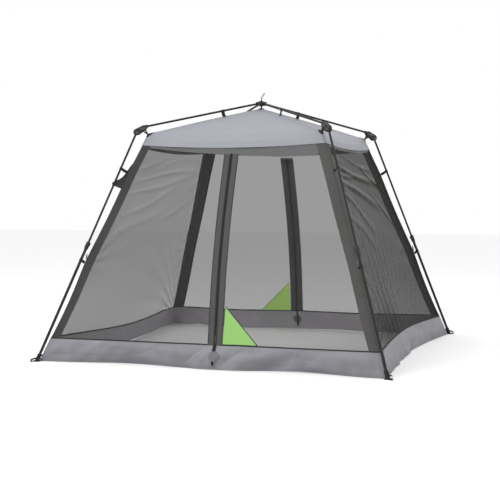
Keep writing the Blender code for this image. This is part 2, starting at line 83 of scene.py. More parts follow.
EAVE_RUN = 0.85
EDGE_RUN = 0.965
LEVEL_Z = 1.5  # above it the net is a piece of its own
SPLIT_Z = 1.0  # above it the walls follow the legs' upper tubes, below it the feet
HUB_PIVOT = (0.042, 2.300)
ARM_END = (1.185, 2.055)
ELBOW = (1.778 / sqrt(2), 2.003)
FOOT_R = 3.10 / sqrt(2)

STRAP_Z = {"upper": 1.645, "lower": 0.850}  # where the leg's straps are sewn to the cloth
LEG_STRAP_Z = {"upper": 1.680, "lower": 0.872}
LEG_FALL = 0.9062  # how far down a leg goes in each metre of its length
HEADER_EDGE_Z = 1.86
HEADER_MIDDLE_Z = 1.84
ARM_STRAP_RUN = 0.284
ROOF_STRAP_RUN = 0.273
WORLD_STRENGTH = 1.0
KEY_POWER = 330
FILL_POWER = 50
TOP_POWER = 110
INSIDE_POWER = 11
NORMAL_STEP = 0.004

SIDES = {"front": 0, "right": 90, "back": 180, "left": 270}
CORNERS = {"fl": 225, "fr": 315, "br": 45, "bl": 135}
# for each side, the corner at its low-across end and the corner at its high-across end
SIDE_CORNERS = {
    "front": ("fl", "fr"),
    "right": ("fr", "br"),
    "back": ("br", "bl"),
    "left": ("bl", "fl"),
}


def sides_at(corner):
    """The side whose high end is at a corner, and the side whose low end is."""
    first = next(s for s in SIDES if SIDE_CORNERS[s][1] == corner)
    second = next(s for s in SIDES if SIDE_CORNERS[s][0] == corner)
    return first, second


# ---------------------------------------------------------------- camera and light
def place_camera():
    data = bpy.data.cameras.new("camera")
    data.sensor_width = 36
    data.lens = 83.68
    data.clip_end = 60
    camera = bpy.data.objects.new("camera", data)
    camera.location = (3.3946, -10.4943, 1.4697)
    camera.rotation_euler = (pi / 2 - 0.0498, 0, 0.3225)
    bpy.context.scene.collection.objects.link(camera)
    bpy.context.scene.camera = camera


def place_light(name, location, target, size, power, shows=True):
    data = bpy.data.lights.new(name, "AREA")
    data.shape = "DISK"
    data.size = size
    data.energy = power
    lamp = bpy.data.objects.new(name, data)
    lamp.location = location
    lamp.rotation_euler = (Vector(target) - Vector(location)).to_track_quat("-Z", "Y").to_euler()
    lamp.visible_camera = shows
    bpy.context.scene.collection.objects.link(lamp)


def place_studio():
    bpy.context.scene.view_settings.view_transform = "Standard"
    world = bpy.data.worlds.new("studio")
    bpy.context.scene.world = world
    world.use_nodes = True
    world.node_tree.nodes["Background"].inputs["Color"].default_value = (1, 1, 1, 1)
    world.node_tree.nodes["Background"].inputs["Strength"].default_value = WORLD_STRENGTH
    place_light("key", (-3.5, -7.5, 7.5), (0, 0, 0.8), 5.0, KEY_POWER)
    place_light("fill", (7.5, -4.0, 4.5), (0, 0, 1.0), 5.0, FILL_POWER)
    place_light("top", (0.5, 1.5, 8.5), (0, 0, 1.0), 6.0, TOP_POWER)
    place_light("inside", (0.1, 0.2, 1.72), (0.1, 0.25, 0.0), 1.7, INSIDE_POWER, False)
    bpy.ops.mesh.primitive_plane_add(size=60, location=(0, 0, -0.0005))
    floor = bpy.context.object
    floor.name = "studio_floor"
    mat = bpy.data.materials.new("studio_floor")
    mat.use_nodes = True
    shader = mat.node_tree.nodes["Principled BSDF"]
    shader.inputs["Base Color"].default_value = (0.93, 0.93, 0.93, 1)
    shader.inputs["Roughness"].default_value = 0.9
    shader.inputs["Specular IOR Level"].default_value = 0.1
    floor.data.materials.append(mat)


# ---------------------------------------------------------------- materials
class Nodes:
    """Short calls for building one material's node tree."""

    def __init__(self, name, rough, metallic=0.0, alpha=1.0):
        self.mat = bpy.data.materials.new(name)
        self.mat.use_nodes = True
        self.tree = self.mat.node_tree
        self.shader = self.tree.nodes["Principled BSDF"]
        self.shader.inputs["Roughness"].default_value = rough
        self.shader.inputs["Metallic"].default_value = metallic
        self.shader.inputs["Alpha"].default_value = alpha
        self.coords = self.tree.nodes.new("ShaderNodeTexCoord")

    def link(self, a, b):
        self.tree.links.new(a, b)

    def noise(self, scale, detail=3.0, source="Object", rough=0.5):
        node = self.tree.nodes.new("ShaderNodeTexNoise")
        node.inputs["Scale"].default_value = scale
        node.inputs["Detail"].default_value = detail
        node.inputs["Roughness"].default_value = rough
        self.link(self.coords.outputs[source], node.inputs["Vector"])
        return node.outputs["Fac"]

    def wave(self, scale, direction, source="UV", distortion=0.0):
        node = self.tree.nodes.new("ShaderNodeTexWave")
        node.bands_direction = direction
        node.inputs["Scale"].default_value = scale
        node.inputs["Distortion"].default_value = distortion
        self.link(self.coords.outputs[source], node.inputs["Vector"])
        return node.outputs["Fac"]

    def ridges(self, scale):
        """Sharp crease lines: the folded middle of two warped noises."""
        first = self.noise(scale, 2.0, rough=0.4)
        second = self.noise(scale * 1.9, 2.0, rough=0.4)
        bent = self.math("ABSOLUTE", self.math("SUBTRACT", first, 0.5), 0)
        fine = self.math("ABSOLUTE", self.math("SUBTRACT", second, 0.5), 0)
        return self.blend(bent, 3.0, fine, 1.6)

    def math(self, operation, a, b):
        node = self.tree.nodes.new("ShaderNodeMath")
        node.operation = operation
        for socket, value in zip(node.inputs, (a, b)):
            if isinstance(value, (int, float)):
                socket.default_value = value
            else:
                self.link(value, socket)
        return node.outputs[0]

    def blend(self, a, share_a, b, share_b):
        """The sum of two values, each times its share."""
        return self.math("ADD", self.math("MULTIPLY", a, share_a), self.math("MULTIPLY", b, share_b))

    def ramp(self, factor, low, high, start=0.0, end=1.0):
        node = self.tree.nodes.new("ShaderNodeValToRGB")
        node.color_ramp.elements[0].color = (*low, 1)
        node.color_ramp.elements[1].color = (*high, 1)
        node.color_ramp.elements[0].position = start
        node.color_ramp.elements[1].position = end
        self.link(factor, node.inputs["Fac"])
        return node.outputs["Color"]

    def span(self, factor, low, high):
        node = self.tree.nodes.new("ShaderNodeMapRange")
        node.inputs["To Min"].default_value = low
        node.inputs["To Max"].default_value = high
        self.link(factor, node.inputs["Value"])
        return node.outputs["Result"]

    def colour(self, socket):
        self.link(socket, self.shader.inputs["Base Color"])

    def roughness(self, socket):
        self.link(socket, self.shader.inputs["Roughness"])

    def bump(self, height, strength, distance):
        node = self.tree.nodes.new("ShaderNodeBump")
        node.inputs["Strength"].default_value = strength
        node.inputs["Distance"].default_value = distance
        self.link(height, node.inputs["Height"])
        self.link(node.outputs["Normal"], self.shader.inputs["Normal"])


def wave_scale(pitch):
    return 2 * pi / (20 * pitch)


def shade(rgb, factor):
    return tuple(min(1.0, c * factor) for c in rgb)


def woven(name, rgb, pitch, rough, alpha=1.0, vary=0.10, sheen=0.15, depth=0.0004, crumple_and_fold_shade=0.0):
    """Plain-woven cloth: crossed threads, soft blotches of wear and colour, and a little sheen.
    When crumpled it also has crease lines, with painted highlights on their ridges and painted shade in their
    hollows, and painted light and shade across the mesh's folds from its "crease" value."""
    n = Nodes(name, rough, alpha=alpha)
    warp = n.wave(wave_scale(pitch), "X", distortion=0.4)
    weft = n.wave(wave_scale(pitch), "Y", distortion=0.4)
    threads = n.math("MAXIMUM", warp, weft)
    blotch = n.noise(2.6, 5.0, rough=0.6)
    fine = n.noise(60.0, 2.0)
    tone = n.blend(blotch, 0.7, fine, 0.3)
    tone = n.blend(tone, 0.85, threads, 0.15)
    n.colour(n.ramp(tone, shade(rgb, 1 - vary), shade(rgb, 1 + vary), 0.3, 0.72))
    n.roughness(n.span(blotch, rough - 0.08, rough + 0.08))
    soft = n.noise(9.0, 4.0)
    height = n.blend(threads, 0.35, soft, 2.2)
    if crumple_and_fold_shade:
        ridges = n.ridges(3.4)
        # painted highlight on the crease lines' ridges and painted shade in their hollows; the same lines are
        # also bumps
        tone = n.math("ADD", tone, n.math("MULTIPLY", n.math("SUBTRACT", ridges, 0.42), 0.30))
        # painted light and shade across the folds: the mesh's "crease" value, from their slope, makes one
        # side of each fold lighter and the other darker, as if lit from one side
        crease = n.tree.nodes.new("ShaderNodeAttribute")
        crease.attribute_name = "crease"
        slant = n.math("SUBTRACT", crease.outputs["Fac"], 0.5)
        tone = n.math("ADD", tone, n.math("MULTIPLY", slant, 0.55))
        n.colour(n.ramp(tone, shade(rgb, 1 - 1.5 * vary), shade(rgb, 1 + 1.5 * vary), 0.16, 0.86))
        height = n.math("ADD", height, n.math("MULTIPLY", ridges, crumple_and_fold_shade))
    n.bump(height, 0.35, depth)
    n.shader.inputs["Sheen Weight"].default_value = sheen
    n.shader.inputs["Sheen Roughness"].default_value = 0.5
    return n.mat


def webbing(name, rgb, pitch=0.0018, rough=0.82):
    """Flat woven strap: ribs across it, a fine twill along it."""
    n = Nodes(name, rough)
    ribs = n.wave(wave_scale(pitch), "Y", distortion=0.6)
    twill = n.wave(wave_scale(pitch * 0.8), "DIAGONAL", distortion=0.3)
    mix = n.blend(ribs, 0.65, twill, 0.35)
    fade = n.noise(25.0, 4.0)
    tone = n.blend(mix, 0.5, fade, 0.5)
    n.colour(n.ramp(tone, shade(rgb, 0.75), shade(rgb, 1.3), 0.25, 0.8))
    n.roughness(n.span(fade, rough - 0.1, rough + 0.08))
    n.bump(mix, 0.6, 0.0004)
    n.shader.inputs["Sheen Weight"].default_value = 0.2
    return n.mat


def coated_steel(name, rgb):
    """Powder-coated tube: orange-peel texture, scuffs that show a lighter tone."""
    n = Nodes(name, 0.42, metallic=0.25)
    peel = n.noise(420.0, 2.0)
    scuff = n.noise(34.0, 6.0, rough=0.75)
    marks = n.ramp(scuff, rgb, shade(rgb, 2.3), 0.60, 0.78)
    n.colour(marks)
    n.roughness(n.span(scuff, 0.34, 0.58))
    n.bump(peel, 0.25, 0.0002)
    n.shader.inputs["Coat Weight"].default_value = 0.15
    n.shader.inputs["Coat Roughness"].default_value = 0.35
    return n.mat


def moulded(name, rgb, rough=0.5, grain=500.0):
    """Moulded plastic: fine spark texture and faint rubbed patches."""
    n = Nodes(name, rough)
    spark = n.noise(grain, 3.0)
    rub = n.noise(28.0, 5.0, rough=0.7)
    n.colour(n.ramp(rub, shade(rgb, 0.85), shade(rgb, 1.5), 0.35, 0.8))
    n.roughness(n.span(rub, rough + 0.1, rough - 0.12))
    n.bump(n.math("ADD", spark, n.math("MULTIPLY", rub, 0.4)), 0.25, 0.0003)
    return n.mat


def bare_metal(name, rgb, rough=0.35):
    n = Nodes(name, rough, metallic=1.0)
    brushed = n.noise(260.0, 4.0)
    n.colour(n.ramp(brushed, shade(rgb, 0.8), shade(rgb, 1.15), 0.3, 0.7))
    n.roughness(n.span(brushed, rough - 0.08, rough + 0.15))
    n.bump(brushed, 0.2, 0.0002)
    return n.mat


def toothed(name, rgb):
    """A zip's coil: close teeth across the tape."""
    n = Nodes(name, 0.45)
    teeth = n.wave(wave_scale(0.0034), "Y")
    wear = n.noise(40.0, 4.0)
    n.colour(n.ramp(n.math("MULTIPLY", teeth, wear), shade(rgb, 0.6), shade(rgb, 2.0), 0.1, 0.7))
    n.roughness(n.span(wear, 0.35, 0.6))
    n.bump(teeth, 0.8, 0.0009)
    return n.mat


MATS = {}
# the corner bands are one cloth; each corner's colour is set to how that corner is lit: painted light and
# shade, darkest at the back right
STRIP_SHADED_COLOURS = {
    "fl": (0.052, 0.050, 0.048),
    "fr": (0.080, 0.078, 0.075),
    "br": (0.024, 0.022, 0.021),
    "bl": (0.070, 0.066, 0.064),
}


# key: material's name, colour, thread pitch, roughness, variation, sheen
CLOTHS = {
    "canopy": ("canopy_cloth", (0.256, 0.264, 0.293), 0.0011, 0.66, 0.05, 0.03),
    "header": ("header_cloth", (0.094, 0.093, 0.097), 0.0012, 0.75, 0.07, 0.02),
    # the skirt's inner face: the skirt cloth made over twice as light, painted light for the shaded inside of
    # the walls
    "skirt_lining": ("skirt_lining", (0.43, 0.41, 0.435), 0.0011, 0.75, 0.10, 0.0),
    "round_lining": ("round_lining", (0.14, 0.13, 0.14), 0.0011, 0.75, 0.10, 0.0),
    "patch": ("patch_cloth", (0.125, 0.127, 0.140), 0.0011, 0.70, 0.10, 0.0),
    "binding": ("binding_cloth", (0.026, 0.026, 0.027), 0.0012, 0.85, 0.15, 0.0),
    "green": ("green_cloth", (0.220, 0.432, 0.110), 0.0012, 0.7, 0.06, 0.03),
    # the green patch's inner face: the green cloth made over twice as light, painted light
    "green_lining": ("green_lining", (0.58, 0.97, 0.20), 0.0012, 0.7, 0.06, 0.0),
}


def make_nets():
    # each wall's net is a copy of the one net cloth, its thread colour and cover set to how that wall is lit
    # and seen: painted light and shade, the right wall's the densest
    for side, rgb, alpha, vary in (
        ("front", (0.017, 0.017, 0.0165), 0.455, 0.08),
        ("left", (0.050, 0.050, 0.048), 0.54, 0.10),
        ("right", (0.034, 0.034, 0.032), 0.74, 0.12),
    ):
        name = "net_mesh" if side == "front" else f"net_mesh_{side}"
        MATS[f"net_{side}"] = woven(name, rgb, 0.0013, 0.85, alpha, vary, 0.0, 0.0001)
    MATS["net_back"] = MATS["net_front"]
    for side, base in (("left", 0.465), ("right", 0.69)):
        shade_folds_with_cover(MATS[f"net_{side}"], base, 0.30)


def make_materials():
    make_nets()
    for key, (name, rgb, pitch, rough, vary, sheen) in CLOTHS.items():
        MATS[key] = woven(name, rgb, pitch, rough, vary=vary, sheen=sheen)
    for corner, rgb in STRIP_SHADED_COLOURS.items():
        MATS[f"strip_{corner}"] = woven(f"strip_cloth_shaded_{corner}", rgb, 0.0014, 0.85, vary=0.14, sheen=0.0)
    MATS["skirt"] = woven(
        "skirt_cloth", (0.188, 0.190, 0.208), 0.0011, 0.66, vary=0.13, sheen=0.03, crumple_and_fold_shade=42.0
    )
    MATS["zip_side"] = woven("zip_side_mesh", (0.062, 0.060, 0.058), 0.0013, 0.85, 0.88, 0.1, 0.0)
    MATS["zip_lining"] = woven("zip_lining_mesh", (0.058, 0.056, 0.054), 0.0013, 0.85, 0.80, 0.1, 0.0)
    MATS["coil"] = toothed("zip_coil", (0.008, 0.008, 0.008))
    MATS["black_web"] = webbing("black_webbing", (0.014, 0.014, 0.0145))
    MATS["light_web"] = webbing("light_webbing", (0.22, 0.225, 0.23))
    MATS["dull_web"] = webbing("dull_webbing", (0.09, 0.092, 0.094))
    MATS["tube"] = coated_steel("coated_tube", (0.016, 0.016, 0.015))
    MATS["plastic"] = moulded("dark_plastic", (0.026, 0.027, 0.026), 0.55)
    MATS["plastic_lighter"] = moulded("panel_plastic", (0.040, 0.042, 0.040), 0.5, 650.0)
    MATS["foot"] = moulded("foot_plastic", (0.013, 0.013, 0.0135), 0.65)
    MATS["steel"] = bare_metal("rivet_steel", (0.22, 0.22, 0.22))
    MATS["dark_metal"] = bare_metal("slider_metal", (0.05, 0.05, 0.052), 0.4)
    MATS["button"] = moulded("button_plastic", (0.008, 0.008, 0.0085), 0.4, 700.0)
    dull = ["coil", "black_web", "plastic", "foot", "button", "binding", "tube", "zip_lining"]
    matt = [f"strip_{corner}" for corner in CORNERS] + ["net_right"]
    for keys, level in ((dull, 0.20), (matt, 0.02)):
        for key in keys:
            shader = MATS[key].node_tree.nodes["Principled BSDF"]
            shader.inputs["Specular IOR Level"].default_value = level


def shade_folds_with_cover(mat, base, shade_gain):
    """Painted light and shade on the net's folds: the mesh's "crease" value, from the slope of its folds,
    adds to or takes from the net's cover, so one side of each fold is denser and darker and the other thinner
    and lighter.
    """
    tree = mat.node_tree
    crease = tree.nodes.new("ShaderNodeAttribute")
    crease.attribute_name = "crease"
    scaled = tree.nodes.new("ShaderNodeMath")
    scaled.operation = "MULTIPLY_ADD"
    scaled.inputs[1].default_value = shade_gain
    scaled.inputs[2].default_value = base
    scaled.use_clamp = True
    tree.links.new(crease.outputs["Fac"], scaled.inputs[0])
    tree.links.new(scaled.outputs[0], tree.nodes["Principled BSDF"].inputs["Alpha"])


def dress_cad_nodes():
    kinds = {
        "hub_body": "plastic",
        "hub_cap": "plastic",
        "arm": "tube",
        "elbow": "plastic",
        "elbow_pin": "steel",
        "knuckle": "plastic",
        "upper_tube": "tube",
        "lower_tube": "tube",
        "collar": "plastic",
        "button": "button",
        "foot": "foot",
        "zip_slider": "dark_metal",
    }
    for name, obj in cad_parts.items():
        kind = name if name in kinds else name.rsplit("_", 1)[0]
        if kind in kinds:
            for slot in obj.material_slots:
                slot.material = MATS[kinds[kind]]


# ---------------------------------------------------------------- the walls' curved surface
def half_width(z):
    return WALL_FOOT - WALL_LEAN * z


def zip_across(z):
    (x0, z0), (x1, z1) = ZIP_BOTTOM, ZIP_TOP
    share = (z - z0) / (z1 - z0)
    return x0 + (x1 - x0) * share - 0.022 * np.sin(pi * np.clip(share, 0, 1))


def valance_z(across):
    share = across / half_width(VALANCE_CORNER_Z)
    return VALANCE_CORNER_Z + (VALANCE_MIDDLE_Z - VALANCE_CORNER_Z) * (1 - share**2)


def bow(side, x, z):
    at_hem, at_seam, lopsided = BOWS[side]
    below = np.clip((SKIRT_TOP - z) / (SKIRT_TOP - SKIRT_BOTTOM), 0, 1)
    height = np.clip((BOW_TOP - z) / (BOW_TOP - SKIRT_TOP), 0, 1)
    depth = (at_seam + (at_hem - at_seam) * below) * height
    reach = half_width(z) - STRIP_WIDTH
    if side in ("left", "right"):
        share = np.clip(np.abs(x) / reach, 0, 1)
        share = np.copysign(share, x) - lopsided * (1 - share**2)
        return depth * (1 - share**2) ** 1.3
    middle = zip_across(z)
    offset = x - middle
    reach = reach - np.sign(offset) * middle
    share = np.clip((np.abs(offset) - ZIP_FLAT) / (reach - ZIP_FLAT), 0, 1)
    return depth * np.sin(pi * share) ** 2


def bump_at(value, centre, width):
    return np.exp(-(((value - centre) / width) ** 2))


def corner_pull(z):
    """How far the straps pull a corner out, along each of its two walls, at a height."""
    return (
        0.006 * bump_at(z, STRAP_Z["upper"], 0.14)
        + 0.006 * bump_at(z, STRAP_Z["lower"], 0.16)
        - 0.004 * bump_at(z, 1.25, 0.20)
        - 0.003 * bump_at(z, 0.50, 0.18)
        + 0.008 * bump_at(z, 0.10, 0.14)
        + 0.012 * bump_at(z, 1.10, 0.55)
    )


def fan(x, z, cx, cz, ways, reach, strength):
    """Creases that radiate from a point where the cloth is held."""
    dx, dz = x - cx, z - cz
    far = np.hypot(dx, dz)
    angle = np.arctan2(dz, dx)
    return strength * np.sin(ways * angle + 2.5 * far) * np.exp(-far / reach) * np.clip(far / 0.10, 0, 1)


# long soft folds of the side walls: from (x, z) to (x, z), width, height
FOLDS = {
    "right": (
        (-0.85, 1.73, 0.75, 1.52, 0.030, 0.012),
        (-0.92, 1.62, 0.55, 1.31, 0.036, 0.013),
        (-0.95, 1.50, 0.20, 1.10, 0.042, 0.010),
        (-0.50, 1.79, 0.62, 1.68, 0.022, 0.008),
        (0.05, 1.80, 0.82, 1.42, 0.022, 0.010),
        (-0.98, 1.30, 0.00, 0.95, 0.045, 0.007),
        (0.30, 1.46, 1.00, 1.08, 0.030, 0.007),
        (-0.95, 1.66, -0.10, 1.60, 0.020, 0.006),
    ),
    "left": (
        (0.80, 1.55, -0.75, 1.72, 0.028, 0.0065),
        (0.88, 1.42, -0.60, 1.66, 0.032, 0.0065),
        (0.92, 1.25, -0.30, 1.52, 0.036, 0.0055),
        (0.30, 1.74, -0.70, 1.80, 0.020, 0.0050),
        (0.98, 1.05, -0.10, 1.32, 0.042, 0.0045),
        (0.20, 1.15, -0.95, 1.45, 0.036, 0.0045),
        (0.75, 1.70, 0.10, 1.79, 0.020, 0.0050),
    ),
}


def long_folds(side, x, z):
    out = 0.0
    for k, (x0, z0, x1, z1, width, height) in enumerate(FOLDS[side]):
        dx, dz = x1 - x0, z1 - z0
        length = hypot(dx, dz)
        along = ((x - x0) * dx + (z - z0) * dz) / length**2
        off = ((z - z0) * dx - (x - x0) * dz) / length + 0.022 * np.sin(4.3 * along + 1.7 * k)
        fade = np.clip(np.sin(pi * np.clip(along, 0, 1)), 0, 1) ** 0.6
        ratio = (off / (width * (0.6 + 0.7 * np.clip(along, 0, 1)))) ** 2
        out = out + height * (1 - 0.6 * ratio) * np.exp(-ratio / 1.2) * fade
    return out


def wrinkles(side, x, z):
    """Small creases, outward positive."""
    w = half_width(z)
    top = np.clip((1.84 - z) / 0.25, 0, 1)
    edge = np.clip((w - np.abs(x) - STRIP_WIDTH) / 0.12, 0, 1)
    seed = {"front": 0.3, "right": 1.7, "back": 3.1, "left": 4.9}[side]
    soft = (
        np.sin(3.1 * x + 2.3 * z + seed)
        + 0.7 * np.sin(5.3 * x - 4.1 * z + 2 * seed)
        + 0.5 * np.sin(8.9 * z + 2.2 * x + 3 * seed)
    )
    out = 0.0035 * soft * top * edge
    low = np.exp(-np.clip(z - SKIRT_TOP, 0, None) / 0.33) * np.clip((z - SKIRT_TOP) / 0.04, 0, 1)
    if side in ("left", "right"):
        right = side == "right"
        flare = x + (0.30 if right else 0.75)
        fanned = flare / (0.020 + 0.017 * np.clip(z, 0, 2)) + 1.1 * np.sin(2.7 * x + seed)
        pleats = np.sin(fanned * 1.35 + 0.7 * np.sin(5 * z + seed)) + 0.5 * np.sin(fanned * 2.1 + 1.3)
        where = (0.35 + 0.65 * bump_at(x, -0.35, 0.6)) if right else 0.04 + 0.96 * bump_at(x, -0.95, 0.50)
        fall = np.exp(-np.clip(z - SKIRT_TOP, 0, None) / (1.0 if right else 0.6))
        fall = fall * np.clip((z - SKIRT_TOP) / 0.04, 0, 1)
        out = out + (0.0040 if right else 0.0036) * pleats * fall * edge * where
        out = out + 0.75 * edge * np.clip(top * 1.5, 0, 1) * long_folds(side, x, z)
        if right:
            out = out + edge * fan(x, z, -w, 1.86, 15, 0.50, 0.005)
            out = out + edge * fan(x, z, -w, 0.2, 19, 0.35, 0.006)
        else:
            out = out + edge * fan(x, z, -w - 0.05, 0.1, 34, 0.75, 0.0085)
            out = out + edge * fan(x, z, w, 1.86, 13, 0.45, 0.003)
    else:
        pleats = np.sin(2 * pi * (x / 0.16 + 0.4 * np.sin(2.1 * x + seed)))
        out = out + 0.0022 * pleats * low * edge
        out = out * np.clip((np.abs(x - zip_across(z)) - ZIP_HALF) / 0.10, 0, 1)
    for sign in (-1, 1):
        out = out + edge * fan(x, z, sign * w, STRAP_Z["lower"], 13, 0.22, 0.006)
        out = out + edge * top * fan(x, z, sign * w, STRAP_Z["upper"], 13, 0.20, 0.006)
    return out


def skirt_wrinkles(side, x, z):
    """The skirt's own slack: deeper towards its hem, none at its seam."""
    seed = {"front": 0.0, "right": 1.3, "back": 2.9, "left": 4.4}[side]
    down = np.clip((SKIRT_TOP - z) / (SKIRT_TOP - SKIRT_BOTTOM), 0, 1)
    slant = x + 0.35 * down * np.sin(2.3 * x + seed)
    broad = np.sin(6.1 * slant + seed) + 0.8 * np.sin(11.3 * slant - 2.1 * seed + 2 * down)
    fold = np.abs(np.sin(4.3 * x + 2.2 * down + 1.7 * np.sin(2.9 * x + seed))) ** 0.5
    fine = np.sin(23 * x + 7 * down + 2.5 * np.sin(6.7 * x + seed)) * (0.5 + 0.5 * np.sin(3.7 * x + 2 * seed))
    edge = np.clip((half_width(z) - np.abs(x)) / 0.10, 0, 1)
    belly = 0.012 * np.sin(pi * down)
    held = np.sin(pi * down)
    tuck = 0.0
    for k in range(7):
        at = -1.25 + 0.41 * k + 0.13 * np.sin(5 * k + seed)
        tilt = 0.75 * np.sin(3.7 * k + 2 * seed)
        away = (x - at - tilt * (SKIRT_TOP - z)) / (0.012 + 0.03 * down)
        tuck = tuck + (0.6 + 0.4 * np.sin(9 * k + seed)) / (1 + away * away)
    lumps = np.sin(17 * x + 31 * z + seed) * np.sin(13 * x - 26 * z + 2 * seed)
    crease = 0.0085 * broad * down + 0.0070 * fold * held + 0.0030 * fine * held
    return (crease + 0.0065 * tuck * np.sqrt(held * down + 1e-9) + 0.0035 * lumps * held + belly) * edge


def surface(side, x, z, lift=0.0):
    """Points of the wall's cloth, drawn at the front and turned to its side."""
    x, z = np.asarray(x, float), np.asarray(z, float)
    w = half_width(z)
    crease = wrinkles(side, x, z) + skirt_wrinkles(side, x, z) * (z < SKIRT_TOP)
    out = lift + crease - bow(side, x, z) * TILT
    y = -w - out / TILT
    height = z + (lift + crease) * WALL_LEAN / TILT
    near = np.clip(1 - (w - np.abs(x)) / 0.45, 0, 1) ** 2
    pull = corner_pull(z) * near
    px = x + np.sign(x) * pull
    py = y - pull
    a = radians(SIDES[side])
    return np.stack(
        [px * cos(a) - py * sin(a), px * sin(a) + py * cos(a), np.maximum(height, 0.0008)],
        axis=-1,
    )


# ---------------------------------------------------------------- making pieces
def link(obj):
    bpy.context.scene.collection.objects.link(obj)
    return obj


def grid_normals(points):
    """A normal at each point of a grid, from its neighbours."""
    du = np.gradient(points, axis=1)
    dv = np.gradient(points, axis=0)
    normal = np.cross(du, dv)
    return normal / np.maximum(np.linalg.norm(normal, axis=-1, keepdims=True), 1e-12)


def grid_object(name, points, mat, normals=None):
    """A sheet from a grid of points, with UVs in metres along its two ways."""
    rows, columns = points.shape[:2]
    verts = points.reshape(-1, 3)
    index = np.arange(rows * columns).reshape(rows, columns)
    faces = np.stack(
        [index[:-1, :-1], index[:-1, 1:], index[1:, 1:], index[1:, :-1]], axis=-1
    ).reshape(-1, 4)
    mesh = bpy.data.meshes.new(name)
    mesh.from_pydata(verts.tolist(), [], faces.tolist())
    along = np.zeros((rows, columns))
    across = np.zeros((rows, columns))
    across[:, 1:] = np.cumsum(np.linalg.norm(np.diff(points, axis=1), axis=-1), axis=1)
    across -= across[:, columns // 2][:, None]
    along[1:] = np.cumsum(np.linalg.norm(np.diff(points, axis=0), axis=-1), axis=0)
    uv = mesh.uv_layers.new(name="cloth")
    loops = faces.reshape(-1)
    flat = np.stack([across.reshape(-1)[loops], along.reshape(-1)[loops]], axis=-1)
    uv.data.foreach_set("uv", flat.reshape(-1).astype(np.float32))
    mesh.shade_smooth()
    if normals is not None:
        mesh.normals_split_custom_set_from_vertices(normals.reshape(-1, 3).tolist())
    mesh.materials.append(mat)
    return link(bpy.data.objects.new(name, mesh))


def sheet_piece(name, points, mat, body, node=None, normals=None):
    """A grid sheet on its body, standing for a CAD node where it has one."""
    if normals is None:
        normals = grid_normals(points)
    obj = grid_object(name, points, MATS[mat], normals)
    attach(obj, body)
    if node:
        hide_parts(node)
    return obj


def flatten_to_corner(obj, corner, side, level=False):
    """Gives the piece its own mesh; the line up its corner and the way across it are worked out but not used.
    """
    sign = 1 if SIDE_CORNERS[side][1] == corner else -1
    low, high = SKIRT_BOTTOM, VALANCE_CORNER_Z
    foot = Vector((sign * half_width(low), -half_width(low), low))
    head = Vector((sign * half_width(high), -half_width(high), high))
    line = (head - foot).normalized()
    axis = Vector((1, 0, 0))
    if level:
        foot = foot + (head - foot) * ((LEVEL_Z + 0.18 - low) / (high - low))
    else:
        axis = (axis - line * axis.dot(line)).normalized()
    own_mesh(obj)


def cloth_part(name, side, corner, xs, zs, mat, body, node, lift=0.0):
    """A piece of a wall's cloth over a grid of places; its normals come from the whole wall's surface."""
    points = surface(side, xs, zs, lift)
    step = NORMAL_STEP
    du = surface(side, xs + step, zs, lift) - surface(side, xs - step, zs, lift)
    dv = surface(side, xs, zs + step, lift) - surface(side, xs, zs - step, lift)
    normals = np.cross(du, dv)
    normals /= np.maximum(np.linalg.norm(normals, axis=-1, keepdims=True), 1e-12)
    obj = grid_object(name, points, mat, normals)
    # The "crease" value is the slope of the wrinkles across each fold, used as painted light and shade: the
    # skirt's cloth is lighter on one side of each fold and darker on the other, and the side walls' nets are
    # denser and darker on one side.
    relief = None
    if name.startswith("net_") and side in ("left", "right"):
        relief, shade_gain = wrinkles, 1.25
    elif mat is MATS["skirt"]:
        relief, shade_gain = skirt_wrinkles, 2.1
    if relief:
        slope = (relief(side, xs + step, zs) - relief(side, xs - step, zs)) / (2 * step)
        rise = (relief(side, xs, zs + step) - relief(side, xs, zs - step)) / (2 * step)
        crease = np.clip(0.5 + shade_gain * (slope + (rise if relief is wrinkles else -0.5 * rise)), 0, 1)
        attribute = obj.data.attributes.new("crease", "FLOAT", "POINT")
        attribute.data.foreach_set("value", crease.reshape(-1).astype(np.float32))
    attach(obj, body)
    if node:
        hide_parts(node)
    flatten_to_corner(obj, corner, side, level=zs.min() > LEVEL_Z - 0.001)


def halves(side):
    """(corner, sign of its across places, the middle's place at a height) of each half of a side."""
    low_corner, high_corner = SIDE_CORNERS[side]
    middle = zip_across if side in ("front", "back") else (lambda z: 0.0 * z)
    return ((low_corner, -1, middle), (high_corner, 1, middle))


def header_low(side, x):
    """The lower edge of the header band."""
    known_x = [-0.82, -0.786, -0.503, -0.264, 0.10, 0.278, 0.467, 0.82]
    known_z = [1.872, 1.866, 1.832, 1.812, 1.792, 1.782, 1.773, 1.780]
    if side == "front":
        return np.interp(x, known_x, known_z)
    return valance_z(x) - 0.022


def half_grid(sign, middle, low, high, rows, count, margin):
    """Places over half a side, from a margin inside its corner to its middle, drawn left to right."""
    t = np.linspace(0, 1, rows)[:, None]
    zs = low + (high - low) * t + np.zeros(count)
    share = np.linspace(0, 1, count)
    xs = sign * (half_width(zs) - margin) * (1 - share) + middle(zs) * share
    return left_to_right(sign, xs, zs)


def left_to_right(sign, xs, zs):
    if sign > 0:
        return xs[:, ::-1], zs[:, ::-1]
    return xs, zs


def make_walls():
    for side in SIDES:
        for corner, sign, middle in halves(side):
            make_half_net(side, corner, sign, middle)
            make_half_skirt(side, corner, sign, middle)


